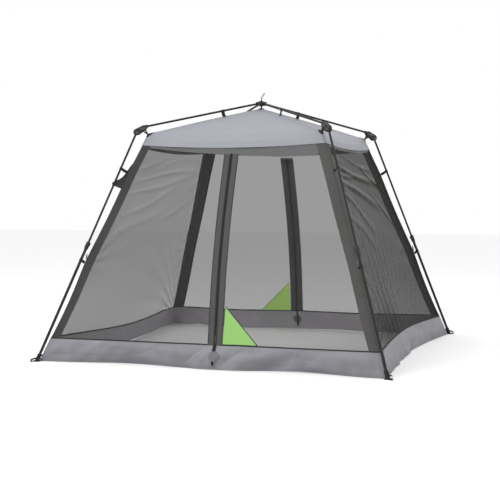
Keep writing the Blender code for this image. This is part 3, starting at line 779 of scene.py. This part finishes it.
def make_half_net(side, corner, sign, middle):
    """Half a side's net in three heights, and the header band over it."""
    tag = f"{side}_{corner}"
    count = 104 if side in ("left", "right") else 76
    share = np.linspace(0, 1, count)
    edge = sign * (half_width(HEADER_EDGE_Z) - NET_MARGIN)
    top_x = edge * (1 - share) + middle(HEADER_MIDDLE_Z) * share
    top_z = header_low(side, top_x)
    for part, body, low, high, rows in (
        ("top", f"leg_{corner}", LEVEL_Z, top_z, 28),
        ("up", f"leg_{corner}", SPLIT_Z, LEVEL_Z, 36),
        ("low", f"foot_{corner}", SKIRT_TOP, SPLIT_Z, 60),
    ):
        xs, zs = half_grid(sign, middle, low, high, rows, count, NET_MARGIN)
        cloth_part(f"net_{tag}_{part}", side, corner, xs, zs, MATS[f"net_{side}"], body, f"wall_{side}")
    t = np.linspace(0, 1, 8)[:, None]
    zs = top_z * (1 - t) + (valance_z(top_x) + 0.006) * t
    xs, zs = left_to_right(sign, np.repeat(top_x[None, :], 8, axis=0), zs)
    cloth_part(f"header_{tag}", side, corner, xs, zs, MATS["header"], f"leg_{corner}", None, 0.0006)


def make_half_skirt(side, corner, sign, middle):
    """Half a side's skirt with its inner face, the bindings of its seam, and its hem."""
    tag, body, count = f"{side}_{corner}", f"foot_{corner}", 130
    xs, zs = half_grid(sign, middle, SKIRT_BOTTOM, SKIRT_TOP, 22, count, 0.001)
    cloth_part(f"skirt_{tag}", side, corner, xs, zs, MATS["skirt"], body, f"skirt_{side}")
    lining = MATS["skirt_lining"]
    cloth_part(f"skirt_lining_{tag}", side, corner, xs, zs, lining, body, None, -LINING_GAP)
    for label, low, high, lift, mat in (
        ("seam", SKIRT_TOP - 0.004, SKIRT_TOP + 0.0065, 0.0022, "binding"),
        ("seam_lining", SKIRT_TOP - 0.004, SKIRT_TOP + 0.0065, -0.0042, "binding"),
        ("hem", SKIRT_BOTTOM + 0.0005, SKIRT_BOTTOM + 0.016, 0.0016, "skirt"),
    ):
        xs, zs = half_grid(sign, middle, low, high, 3, count, 0.002)
        cloth_part(f"{label}_{tag}", side, corner, xs, zs, MATS[mat], body, None, lift)


def make_strips():
    """The dark bands folded round the corners."""
    reach = np.array(STRIP_REACHES)
    t = np.linspace(0, 1, STRIP_ROWS)[:, None]
    for corner in CORNERS:
        for part, body, low, high in (
            ("up", f"leg_{corner}", SPLIT_Z, None),
            ("low", f"foot_{corner}", SKIRT_TOP - 0.002, SPLIT_Z),
        ):
            wings = []
            for side, sign, order in zip(sides_at(corner), (1, -1), (reach, reach[::-1])):
                r = order * (STRIP_NARROWING if side in ("front", "back") else 1.0)
                top = high or valance_z(half_width(VALANCE_CORNER_Z) - r) + 0.006
                z = low + (top - low) * t
                x = sign * (half_width(z) - r)
                wings.append(surface(side, x, z, 0.0018 - 0.0012 * (r < 0.005)))
            points = np.concatenate(wings, axis=1)
            name = f"strip_{corner}"
            sheet_piece(f"{name}_{part}", points, name, body, name)


# ---------------------------------------------------------------- the canopy
def roof_profile(t, u):
    """(height, distance out, corner height) at a run u of the cloth from the peak: 0.85 to the eave
    and 0.965 to the lower edge."""
    s = np.clip(u / EAVE_RUN, 0, 1)
    down = np.clip((u - EAVE_RUN) / (EDGE_RUN - EAVE_RUN), 0, 1)
    corner_z = PEAK_Z + (EAVE_CORNER_Z - PEAK_Z) * s + (VALANCE_CORNER_Z - EAVE_CORNER_Z) * down
    droop = (EAVE_MIDDLE_Z - EAVE_CORNER_Z) * s * (1 - down) + (VALANCE_MIDDLE_Z - VALANCE_CORNER_Z) * down
    z = corner_z + droop * (1 - t * t)
    out = np.where(down > 0, half_width(z), half_width(EAVE_CORNER_Z) * s)
    return np.stack([z, out, corner_z])


def roof_point(side, t, u):
    """A point of the roof, drawn at the front: t across from -1 to 1, u the run from the peak."""
    t, u = np.broadcast_arrays(np.asarray(t, float), np.asarray(u, float))
    soft = np.minimum(0.11 * (1 - t**4) + 0.004, EDGE_RUN - u)
    soft = np.minimum(soft, u)
    z, out, corner_z = sum(roof_profile(t, u + soft * k) for k in (-1, -0.6, -0.2, 0.2, 0.6, 1)) / 6
    s = np.clip(u / EAVE_RUN, 0, 1)
    down = np.clip((u - EAVE_RUN) / (EDGE_RUN - EAVE_RUN), 0, 1)
    across = t * (out * (1 - down) + half_width(corner_z) * down)
    fall = np.sin(pi * s)
    sag = 0.018 * (1 - t * t) * fall
    ridge = 0.006 * np.exp(-(((1 - np.abs(t)) / 0.05) ** 2)) * fall
    seed = {"front": 0.0, "right": 2.0, "back": 4.0, "left": 5.5}[side]
    taut = np.clip(1 - np.abs(t), 0, 1)
    crease = 0.0030 * np.sin(11 * t * s + seed) * fall * taut
    near_corner = np.hypot((1 - np.abs(t)) * s, (1 - s))
    rays = np.arctan2(1 - s + 1e-6, (1 - np.abs(t)) + 1e-6)
    fade = np.exp(-near_corner / 0.22) * np.clip(near_corner / 0.06, 0, 1)
    crease = crease + 0.0035 * np.sin(16 * rays) * fade * (1 - s)
    z = z - sag + ridge + crease
    flap = 0.005 * down + 0.003 * (1 + np.sin(9 * across + seed)) * down * (1 - t**4)
    y = -(out + flap)
    a = radians(SIDES[side])
    return np.stack([across * cos(a) - y * sin(a), across * sin(a) + y * cos(a), z], axis=-1)


def flatten_to_ridge(obj):
    """Gives a roof piece its own mesh."""
    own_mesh(obj)


def make_canopy():
    """The roof in eight half quarters, which meet on the ridges and on the sides' middles."""
    shares = np.concatenate([np.linspace(0.004, 0.72, 34), np.linspace(0.735, EDGE_RUN, 24)])[:, None]
    across = np.linspace(0, 1, 40) ** 0.85
    for side in SIDES:
        for corner, sign in zip(SIDE_CORNERS[side], (-1, 1)):
            t = -across if sign < 0 else across[::-1]
            points = roof_point(side, t[None, :], shares)
            step = NORMAL_STEP
            before = roof_point(side, t[None, :] - step, shares)
            after = roof_point(side, t[None, :] + step, shares)
            normals = np.cross(before - after, np.gradient(points, axis=0))
            # on the ridge the normal leans to neither side
            edge = -1 if sign < 0 else 0
            level = np.array(tangent(corner))
            normals[:, edge] -= (normals[:, edge] @ level)[:, None] * level
            normals /= np.linalg.norm(normals, axis=-1, keepdims=True)
            arm, name = f"arm_{corner}", f"canopy_{corner}_{side}"
            gore = sheet_piece(name, points, "canopy", arm, "canopy", normals)
            flatten_to_ridge(gore)
            rim_runs = EDGE_RUN - np.array([0.016, 0.008, 0.001])[:, None]
            rim = roof_point(side, t[None, :], rim_runs)
            out = rim[..., :2] / np.linalg.norm(rim[..., :2], axis=-1, keepdims=True)
            rim[..., :2] += out * 0.0016
            hem_name = f"canopy_hem_{corner}_{side}"
            hem = sheet_piece(hem_name, rim, "canopy", arm)
            flatten_to_ridge(hem)


# ---------------------------------------------------------------- straps, ties and small parts
def ribbon(name, path, width_way, width, thick, mat, body):
    """Flat webbing along a path: a closed band with rounded long edges."""
    path = [Vector(p) for p in path]
    side = Vector(width_way).normalized()
    profile = []
    for i in range(12):
        a = 2 * pi * i / 12
        profile.append((cos(a) * width / 2 * (1 if abs(cos(a)) > 0.9 else 0.98), sin(a) * thick / 2))
    bm = bmesh.new()
    uv_layer = bm.loops.layers.uv.new("strap")
    rings = []
    run = 0.0
    lengths = []
    for i, point in enumerate(path):
        if i:
            run += (point - path[i - 1]).length
        lengths.append(run)
        ahead = path[min(i + 1, len(path) - 1)] - path[max(i - 1, 0)]
        ahead.normalize()
        wide = (side - ahead * side.dot(ahead)).normalized()
        up = ahead.cross(wide).normalized()
        rings.append([bm.verts.new(point + wide * a + up * b) for a, b in profile])
    for k, (ring, after) in enumerate(zip(rings, rings[1:])):
        for i in range(12):
            j = (i + 1) % 12
            face = bm.faces.new([ring[i], ring[j], after[j], after[i]])
            face.smooth = True
            spots = ((i, k), (j, k), (j, k + 1), (i, k + 1))
            for loop, (a, b) in zip(face.loops, spots):
                loop[uv_layer].uv = (profile[a][0], lengths[b])
    bm.faces.new(rings[0][::-1])
    bm.faces.new(rings[-1])
    bmesh.ops.recalc_face_normals(bm, faces=bm.faces)
    mesh = bpy.data.meshes.new(name)
    bm.to_mesh(mesh)
    bm.free()
    mesh.materials.append(mat)
    obj = link(bpy.data.objects.new(name, mesh))
    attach(obj, body)
    return obj


def smooth_path(points, steps=8):
    """A Catmull-Rom curve through the points."""
    points = [Vector(p) for p in points]
    padded = [points[0] * 2 - points[1], *points, points[-1] * 2 - points[-2]]
    out = []
    for i in range(1, len(padded) - 2):
        a, b, c, d = padded[i - 1 : i + 3]
        for k in range(steps):
            t = k / steps
            square = (2 * a - 5 * b + 4 * c - d) * t * t
            cube = (3 * b - a - 3 * c + d) * t * t * t
            out.append(0.5 * (2 * b + (c - a) * t + square + cube))
    out.append(points[-1])
    return out


def corner_point(corner, r, z, sideways=0.0):
    """A point in a corner's upright plane: r out from the axis."""
    a = radians(CORNERS[corner])
    return Vector((r * cos(a) - sideways * sin(a), r * sin(a) + sideways * cos(a), z))


def tangent(corner):
    a = radians(CORNERS[corner])
    return Vector((-sin(a), cos(a), 0))


def solid(name, bm, mat, body, bevel=0.0, smooth_deg=40):
    if bevel:
        edges = [e for e in bm.edges if len(e.link_faces) == 2 and e.calc_face_angle(0) > radians(40)]
        bmesh.ops.bevel(bm, geom=edges, offset=bevel, segments=2, affect="EDGES", profile=0.5)
    bmesh.ops.recalc_face_normals(bm, faces=bm.faces)
    mesh = bpy.data.meshes.new(name)
    bm.to_mesh(mesh)
    bm.free()
    mesh.shade_smooth()
    mesh.set_sharp_from_angle(angle=radians(smooth_deg))
    mesh.materials.append(mat)
    obj = link(bpy.data.objects.new(name, mesh))
    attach(obj, body)
    return obj


def prism(outline, frame_matrix, low, high):
    """A closed plate: an outline in a frame's XY plane, from low to high along its Z."""
    bm = bmesh.new()
    bottom = [bm.verts.new(frame_matrix @ Vector((x, y, low))) for x, y in outline]
    top = [bm.verts.new(frame_matrix @ Vector((x, y, high))) for x, y in outline]
    bm.faces.new(bottom[::-1])
    bm.faces.new(top)
    for i in range(len(outline)):
        j = (i + 1) % len(outline)
        bm.faces.new([bottom[i], bottom[j], top[j], top[i]])
    return bm


def circle(rx, ry, count):
    """Places round an ellipse."""
    return [(rx * cos(a), ry * sin(a)) for a in np.linspace(0, 2 * pi, count + 1)[:-1]]


def skin(bm, rings):
    """Faces between rings of vertices, the last ring joined to the first."""
    count = len(rings[0])
    for i, ring in enumerate(rings):
        after = rings[(i + 1) % len(rings)]
        for k in range(count):
            m = (k + 1) % count
            bm.faces.new([ring[k], ring[m], after[m], after[k]])


def basis(origin, x_way, y_way):
    x = Vector(x_way).normalized()
    y = (Vector(y_way) - x * x.dot(Vector(y_way))).normalized()
    z = x.cross(y)
    m = Matrix((x, y, z)).transposed().to_4x4()
    m.translation = Vector(origin)
    return m


def leg_point(corner, down, sideways=0.0, out=0.0):
    """A point by the leg: so far down from the elbow's pivot, and out across the leg."""
    dr, dz = FOOT_R - ELBOW[0], -ELBOW[1]
    length = hypot(dr, dz)
    dr, dz = dr / length, dz / length
    return corner_point(corner, ELBOW[0] + dr * down - dz * out, ELBOW[1] + dz * down + dr * out, sideways)


def wall_corner(z):
    """How far out a wall's corner is, along its diagonal, at a height."""
    return (half_width(z) + corner_pull(z)) * sqrt(2)


def arm_point(corner, share, out=0.0):
    """A point along the arm from the hub's pin to the elbow's housing."""
    dr, dz = ARM_END[0] - HUB_PIVOT[0], ARM_END[1] - HUB_PIVOT[1]
    length = hypot(dr, dz)
    return corner_point(
        corner,
        HUB_PIVOT[0] + dr * share - dz / length * out,
        HUB_PIVOT[1] + dz * share + dr / length * out,
    )


def loop_round(corner, at, along_way, radius, width, name, mat, body):
    """A turn of webbing round a tube."""
    along_way = Vector(along_way).normalized()
    t = tangent(corner)
    n = along_way.cross(t).normalized()
    path = [Vector(at) + (t * cos(a) + n * sin(a)) * radius for a in np.linspace(0, 2 * pi, 25)]
    bm = bmesh.new()
    rings = []
    for p in path[:-1]:
        outward = (p - Vector(at)).normalized()
        ring = []
        for a, b in ((-1, 0), (-0.9, 1), (0.9, 1), (1, 0), (0.9, -0.4), (-0.9, -0.4)):
            ring.append(bm.verts.new(p + along_way * (a * width / 2) + outward * (b * 0.0012)))
        rings.append(ring)
    skin(bm, rings)
    return solid(name, bm, mat, body)


def make_leg_straps():
    for corner in CORNERS:
        down_way = leg_point(corner, 1) - leg_point(corner, 0)
        t = tangent(corner)
        for label, body, tube_r in (("upper", f"leg_{corner}", 0.0095), ("lower", f"foot_{corner}", 0.0125)):
            z_leg, z_cloth = LEG_STRAP_Z[label], STRAP_Z[label]
            down = (ELBOW[1] - z_leg) / (ELBOW[1] / hypot(FOOT_R - ELBOW[0], ELBOW[1]))
            at_leg = leg_point(corner, down)
            at_cloth = corner_point(corner, wall_corner(z_cloth) + 0.002, z_cloth)
            inside = leg_point(corner, down, 0, -tube_r - 0.0015)
            middle = (inside + at_cloth) / 2 + Vector((0, 0, -0.004))
            path = smooth_path([inside, middle, at_cloth], 6)
            web = MATS["black_web"]
            ribbon(f"leg_strap_{label}_{corner}", path, down_way, 0.026, 0.0030, web, body)
            loop_name = f"strap_loop_{label}_{corner}"
            loop_round(corner, at_leg, down_way, tube_r + 0.0013, 0.024, loop_name, web, body)
            # a bar that stops the strap
            m = basis(inside * 0.35 + at_cloth * 0.65, (at_cloth - inside).normalized(), down_way)
            outline = [(-0.006, -0.011), (0.006, -0.011), (0.006, 0.011), (-0.006, 0.011)]
            bar = prism(outline, m, -0.004, 0.004)
            solid(f"strap_bar_{label}_{corner}", bar, MATS["button"], body, 0.0015)
        # the loop of spare webbing above the lower strap
        base = corner_point(corner, wall_corner(0.885) + 0.002, 0.885)
        tip = leg_point(corner, (ELBOW[1] - 0.925) / LEG_FALL, 0, -0.030)
        swing = (tip + base) / 2 + Vector((0, 0, 0.020)) + t * 0.004
        back = (tip + base) / 2 + Vector((0, 0, -0.014)) - t * 0.004
        end = corner_point(corner, wall_corner(0.862) + 0.002, 0.862)
        path = smooth_path([base, swing, tip, back, end], 7)
        web = MATS["light_web" if corner == "fl" else "dull_web"]
        ribbon(f"spare_loop_{corner}", path, down_way, 0.016, 0.0016, web, f"foot_{corner}")


def make_guy_tab():
    """A tab by the front left corner's upper strap, with a bound edge."""
    corner = "fl"
    t = tangent(corner)
    outline = [(1.715, 0.0), (1.60, 0.030), (1.555, 0.098), (1.528, 0.088), (1.50, 0.0)]
    ring = [corner_point(corner, wall_corner(z) + r - 0.002, z) for z, r in outline]
    bm = bmesh.new()
    faces = [[bm.verts.new(p + t * s * 0.0006) for p in ring] for s in (-1, 1)]
    bm.faces.new(faces[0])
    bm.faces.new(faces[1][::-1])
    for i in range(len(ring)):
        j = (i + 1) % len(ring)
        bm.faces.new([faces[0][i], faces[0][j], faces[1][j], faces[1][i]])
    solid(f"guy_tab_{corner}", bm, MATS["strip_fl"], f"leg_{corner}")
    path = [corner_point(corner, wall_corner(z) + r - 0.001, z) for z, r in outline[:4]]
    way = t.cross(path[2] - path[0])
    ribbon(
        f"guy_tab_edge_{corner}", smooth_path(path, 4), way, 0.010, 0.0034, MATS["binding"], f"leg_{corner}"
    )


def make_arm_straps():
    for corner in CORNERS:
        share = (ARM_STRAP_RUN * sqrt(2) - HUB_PIVOT[0]) / (ARM_END[0] - HUB_PIVOT[0])
        at = arm_point(corner, share)
        along_way = arm_point(corner, 1) - arm_point(corner, 0)
        below = arm_point(corner, share, -0.011)
        fall = (PEAK_Z - EAVE_CORNER_Z) * ROOF_STRAP_RUN / half_width(EAVE_CORNER_Z)
        foot = corner_point(corner, ROOF_STRAP_RUN * sqrt(2), PEAK_Z - fall + 0.004)
        path = smooth_path([below, (below + foot) / 2 + along_way.normalized() * 0.002, foot], 6)
        web, body = MATS["black_web"], f"arm_{corner}"
        ribbon(f"arm_strap_{corner}", path, along_way, 0.034, 0.0040, web, body)
        loop_round(corner, at, along_way, 0.0108, 0.036, f"arm_strap_loop_{corner}", web, body)
        m = basis(foot + Vector((0, 0, 0.002)), foot - corner_point(corner, 0, PEAK_Z), tangent(corner))
        patch = prism(circle(0.020, 0.014, 16), m, -0.001, 0.001)
        solid(f"arm_strap_patch_{corner}", patch, MATS["binding"], body, 0.0006)


def make_corner_ties():
    """Webbing from each elbow down to the canopy's corner, and the dark patch sewn round it."""
    for corner in CORNERS:
        t = tangent(corner)
        tie = corner_point(corner, half_width(EAVE_CORNER_Z) * sqrt(2) + 0.004, EAVE_CORNER_Z + 0.003)
        top = corner_point(corner, 1.174, ARM_END[1] - 0.024)
        back = corner_point(corner, 1.196, ARM_END[1] - 0.034)
        web, arm = MATS["black_web"], f"arm_{corner}"
        for name, start, sag, drop, width, thick in (
            ("corner_tie", top, 0.003, 0.0, 0.034, 0.0110),
            ("corner_tie_back", back, 0.006, 0.004, 0.026, 0.0070),
        ):
            middle = (start + tie) / 2 - Vector((0, 0, sag))
            path = smooth_path([start, middle, tie - Vector((0, 0, drop))], 6)
            ribbon(f"{name}_{corner}", path, t, width, thick, web, arm)
        left_side, right_side = sides_at(corner)
        reach = np.linspace(0, 0.040, 8)
        runs = np.linspace(-0.045, 0.030, 16)[:, None]
        taper = np.clip(1 - np.abs(runs) / 0.055, 0.12, 1)
        first = roof_point(left_side, 1 - reach[::-1][None, :] * taper, EAVE_RUN + runs)
        second = roof_point(right_side, -1 + reach[None, 1:] * taper, EAVE_RUN + runs)
        points = np.concatenate([first, second], axis=1)[::-1]
        normals = grid_normals(points)
        points = points + normals * 0.0030
        sheet_piece(f"corner_patch_{corner}", points, "binding", arm, normals=normals)


def make_hub_loop():
    """The hub's webbing loop, leaning a little to the right."""
    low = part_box("hub_cap")[1].z
    points = [
        (0.004, -0.002, low - 0.002),
        (0.012, -0.003, low + 0.030),
        (0.034, -0.004, low + 0.064),
        (0.026, 0.000, low + 0.066),
        (0.002, 0.002, low + 0.034),
        (-0.003, 0.002, low - 0.002),
    ]
    obj = ribbon("hub_loop_web", smooth_path(points, 8), (0, 1, 0), 0.018, 0.0016, MATS["light_web"], "hub")
    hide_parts("hub_loop")


def make_peak_tie():
    """The tie from the hub down to the canopy's peak, and the round patch it is sewn to."""
    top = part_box("hub_body")[0].z + 0.002
    path = smooth_path([(0, 0, top), (0.001, 0.001, (top + PEAK_Z) / 2), (0, 0, PEAK_Z)], 4)
    ribbon("peak_tie", path, (1, 1, 0), 0.016, 0.003, MATS["black_web"], "hub")
    bm = bmesh.new()
    rings = []
    for r in (0.0, 0.010, 0.020, 0.030):
        ring = []
        for a in np.linspace(0, 2 * pi, 33)[:-1]:
            drop = 0.33 * r / max(abs(cos(a)), abs(sin(a))) * 0.72
            ring.append(Vector((r * cos(a), r * sin(a), PEAK_Z + 0.003 - drop)))
        rings.append(ring)
    layers = []
    for dz in (0.0, 0.0018):
        layers.append([[bm.verts.new(p + Vector((0, 0, dz))) for p in ring] for ring in rings[1:]])
    tips = [bm.verts.new(rings[0][0] + Vector((0, 0, dz))) for dz in (0.0, 0.0018)]
    for layer, tip in zip(layers, tips):
        for i in range(32):
            j = (i + 1) % 32
            bm.faces.new([tip, layer[0][i], layer[0][j]])
            for ring, after in zip(layer, layer[1:]):
                bm.faces.new([ring[i], after[i], after[j], ring[j]])
    for i in range(32):
        j = (i + 1) % 32
        bm.faces.new([layers[0][-1][i], layers[0][-1][j], layers[1][-1][j], layers[1][-1][i]])
    solid("peak_patch", bm, MATS["binding"], "hub")


def make_hub_screws():
    for corner in CORNERS:
        a = radians(CORNERS[corner])
        m = basis((0.040 * cos(a + pi / 4), 0.040 * sin(a + pi / 4), 2.318), (1, 0, 0), (0, 1, 0))
        head = prism(circle(0.0042, 0.0042, 12), m, -0.001, 0.0016)
        solid(f"hub_screw_{corner}", head, MATS["steel"], "hub", 0.0005)


def make_elbow_details():
    """A raised panel with a screw on each face of an elbow, and a ferrule where the arm enters."""
    for corner in CORNERS:
        t = tangent(corner)
        along_way = (corner_point(corner, *ARM_END) - corner_point(corner, *HUB_PIVOT)).normalized()
        centre_r = (ARM_END[0] + ELBOW[0]) / 2 - 0.012
        centre = corner_point(corner, centre_r, (ARM_END[1] + ELBOW[1]) / 2 + 0.010)
        for s in (-1, 1):
            m = basis(centre + t * s * 0.0208, along_way, t.cross(along_way) * s)
            outline = []
            for cx, start in ((0.020, -pi / 2), (-0.020, pi / 2)):
                for b in np.linspace(start, start + pi, 9):
                    outline.append((cx + 0.0105 * cos(b), 0.0105 * sin(b)))
            solid(
                f"elbow_panel_{corner}_{'ab'[s > 0]}", prism(outline, m, -0.0008, 0.0018),
                MATS["plastic_lighter"], f"arm_{corner}", 0.0006,
            )
            m = basis(centre + t * s * 0.0222, along_way, t.cross(along_way) * s)
            head = prism(circle(0.0032, 0.0032, 12), m, -0.001, 0.0012)
            solid(f"elbow_screw_{corner}_{'ab'[s > 0]}", head, MATS["steel"], f"arm_{corner}", 0.0004)
        # ferrule round the arm
        at = arm_point(corner, 0.985)
        bm = bmesh.new()
        rings = []
        n = along_way.cross(t)
        for u, r in ((-0.020, 0.0097), (-0.020, 0.0135), (-0.004, 0.0150), (0.004, 0.0150), (0.004, 0.0097)):
            ring = []
            for b in np.linspace(0, 2 * pi, 25)[:-1]:
                ring.append(bm.verts.new(at + along_way * u + (t * cos(b) + n * sin(b)) * r))
            rings.append(ring)
        skin(bm, rings)
        solid(f"arm_ferrule_{corner}", bm, MATS["plastic"], f"arm_{corner}")


def make_foot_loops():
    """Webbing from each foot's ring to the skirt's corner, and a short tie above it."""
    for corner in CORNERS:
        loop_path = (
            (FOOT_R + 0.046, 0.0035),
            (FOOT_R + 0.054, 0.012, 0.004),
            (FOOT_R + 0.042, 0.022, 0.010),
            (FOOT_R + 0.010, 0.030, 0.024),
            (FOOT_R - 0.030, 0.022, 0.022),
            (wall_corner(0.02) - 0.004, 0.020, 0.010),
        )
        tie_path = (
            (wall_corner(0.05) - 0.004, 0.050, -0.004),
            (FOOT_R - 0.045, 0.046, -0.010),
            (FOOT_R - 0.012, 0.040, -0.016),
        )
        loop_web = "dull_web" if corner == "fr" else "black_web"
        for name, places, width, thick, web in (
            ("foot_loop", loop_path, 0.014, 0.0016, loop_web),
            ("foot_tie", tie_path, 0.016, 0.002, "black_web"),
        ):
            path = smooth_path([corner_point(corner, *place) for place in places], 6)
            ribbon(f"{name}_{corner}", path, (0, 0, 1), width, thick, MATS[web], f"foot_{corner}")


def make_zips():
    for side, other in (("front", "fr"), ("back", "bl")):
        body = f"zip_{side}"
        # the two flat net-cloth bands beside the coil, over the walls' middle
        z = np.linspace(SKIRT_TOP - 0.004, 1.80, 90)[:, None]
        for label, x0, x1 in (("low", -ZIP_HALF, -0.0045), ("high", 0.0045, ZIP_HALF)):
            xs = zip_across(z) + np.linspace(x0, x1, 7)[None, :]
            zs = np.repeat(z, 7, axis=1)
            points = surface(side, xs, zs, 0.0032)
            sheet_piece(f"zip_band_{side}_{label}", points, "zip_side", body, f"zip_tape_{side}")
        # coil
        z = np.linspace(0.105, 1.805, 120)
        centre = surface(side, zip_across(z), z, 0.0045)
        ribbon(f"zip_coil_{side}", centre, (1, 0, 0), 0.0130, 0.0034, MATS["coil"], body)
        # stitched edges of the bands
        edge = ZIP_HALF - 0.004
        for label, x0 in (("low", -edge), ("high", edge), ("mid_low", -0.012), ("mid_high", 0.012)):
            z = np.linspace(SKIRT_TOP + 0.004, 1.80, 70)
            line = surface(side, zip_across(z) + x0, z, 0.0038)
            ribbon(f"zip_edge_{side}_{label}", line, (1, 0, 0), 0.0060, 0.0014, MATS["binding"], body)
        # the same seen from inside
        z = np.linspace(0.030, 1.80, 110)
        line = surface(side, zip_across(z), z, -0.0052)
        ribbon(f"zip_back_face_{side}", line, (1, 0, 0), 0.0200, 0.0030, MATS["coil"], body)
        z = np.linspace(SKIRT_TOP, 1.82, 90)[:, None]
        xs = zip_across(z) + np.linspace(-ZIP_HALF, ZIP_HALF, 9)[None, :]
        points = surface(side, xs, np.repeat(z, 9, axis=1), -0.0020)
        sheet_piece(f"zip_lining_{side}", points, "zip_lining", body)
        # tape's foot over the skirt
        z = np.linspace(0.11, SKIRT_TOP + 0.01, 16)
        line = surface(side, zip_across(z), z, 0.0034)
        ribbon(f"zip_foot_{side}", line, (1, 0, 0), 0.030, 0.0016, MATS["binding"], body)
        # round patch and stake loop at the hem
        make_round_patch(side)
        make_stake_loop(side)
        make_green_patch(side, other)


def make_round_patch(side):
    cx, cz = zip_across(0.1) + 0.006, 0.100
    rows = []
    for r in (0.001, 0.016, 0.032, 0.046):
        ring = []
        for a in np.linspace(0, 2 * pi, 33):
            ring.append((cx + r * cos(a), cz + r * 0.92 * sin(a)))
        rows.append(ring)
    grid = np.array(rows)
    points = surface(side, grid[..., 0], grid[..., 1], 0.0062)
    inside = surface(side, grid[..., 0], grid[..., 1], -0.0040)
    for name, places, mat in (("patch", points, "patch"), ("lining", inside, "round_lining")):
        obj = grid_object(f"round_{name}_{side}", places, MATS[mat], None)
        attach(obj, f"zip_{side}")


def make_stake_loop(side):
    """Light webbing round a dark eyelet at the hem."""
    cx = zip_across(0.05)
    cz = 0.044
    a = radians(SIDES[side])
    way = Vector((cos(a), sin(a), 0))
    for label, rx, rz, width, lift, mat in (
        ("web", 0.017, 0.026, 0.010, 0.0085, "light_web"),
        ("eye", 0.0085, 0.014, 0.0055, 0.0105, "button"),
    ):
        angles = np.linspace(0, 2 * pi, 33)
        ring = surface(side, cx + rx * np.cos(angles), cz + rz * np.sin(angles), lift)
        centre = Vector(surface(side, cx, cz, lift))
        bm = bmesh.new()
        rings = []
        normal = (Vector(surface(side, cx, cz, lift + 0.01)) - centre).normalized()
        for p in ring[:-1]:
            p = Vector(p)
            out = (p - centre).normalized()
            section = []
            for b in np.linspace(0, 2 * pi, 9)[:-1]:
                section.append(bm.verts.new(p + out * (cos(b) * width / 2) + normal * (sin(b) * 0.0018)))
            rings.append(section)
        skin(bm, rings)
        solid(f"stake_{label}_{side}", bm, MATS[mat], f"zip_{side}")
    m = basis(Vector(surface(side, cx, cz, 0.0075)), way, (0, 0, 1))
    hole = prism(circle(0.007, 0.012, 20), m, -0.0006, 0.0006)
    solid(f"stake_hole_{side}", hole, MATS["button"], f"zip_{side}")


def make_green_patch(side, corner):
    """The green triangle beside the zip's foot, with a bound slanting edge."""
    x0, z0, size = 0.134, SKIRT_TOP + 0.006, 0.305
    steps = 26
    lean = size * (ZIP_BOTTOM[0] - ZIP_TOP[0]) / (ZIP_TOP[1] - ZIP_BOTTOM[1])
    rows = []
    for t in np.linspace(0, 0.985, steps):
        left = x0 - lean * t
        right = x0 + size + (x0 - lean - x0 - size) * t
        rows.append([(left + (right - left) * s, z0 + size * t) for s in np.linspace(0, 1, steps)])
    grid = np.array(rows)
    body = f"foot_{corner}"
    for label, mat, lift, node in (
        ("patch", "green", 0.0030, f"patch_{side}"),
        ("lining", "green_lining", -0.0030, None),
    ):
        points = surface(side, grid[..., 0], grid[..., 1], lift)
        flap = sheet_piece(f"green_{label}_{side}", points, mat, body, node)
        flatten_to_corner(flap, corner, side)
    for label, line in (
        ("slant", [(x0 + size - (size + lean) * t, z0 + size * t) for t in np.linspace(0, 1, 30)]),
        ("foot", [(x0 + size * t, z0 - 0.002) for t in np.linspace(0, 1, 30)]),
    ):
        line = np.array(line)
        path = surface(side, line[:, 0], line[:, 1], 0.0040)
        way = (1, 0, 0.5) if label == "slant" else (0, 0, 1)
        edge = ribbon(f"patch_edge_{label}_{side}", path, way, 0.0075, 0.0020, MATS["binding"], body)
        flatten_to_corner(edge, corner, side)


place_camera()
place_studio()
make_materials()
dress_cad_nodes()
make_canopy()
make_walls()
make_strips()
make_leg_straps()
make_guy_tab()
make_arm_straps()
make_corner_ties()
make_hub_loop()
make_peak_tie()
make_hub_screws()
make_elbow_details()
make_foot_loops()
make_zips()
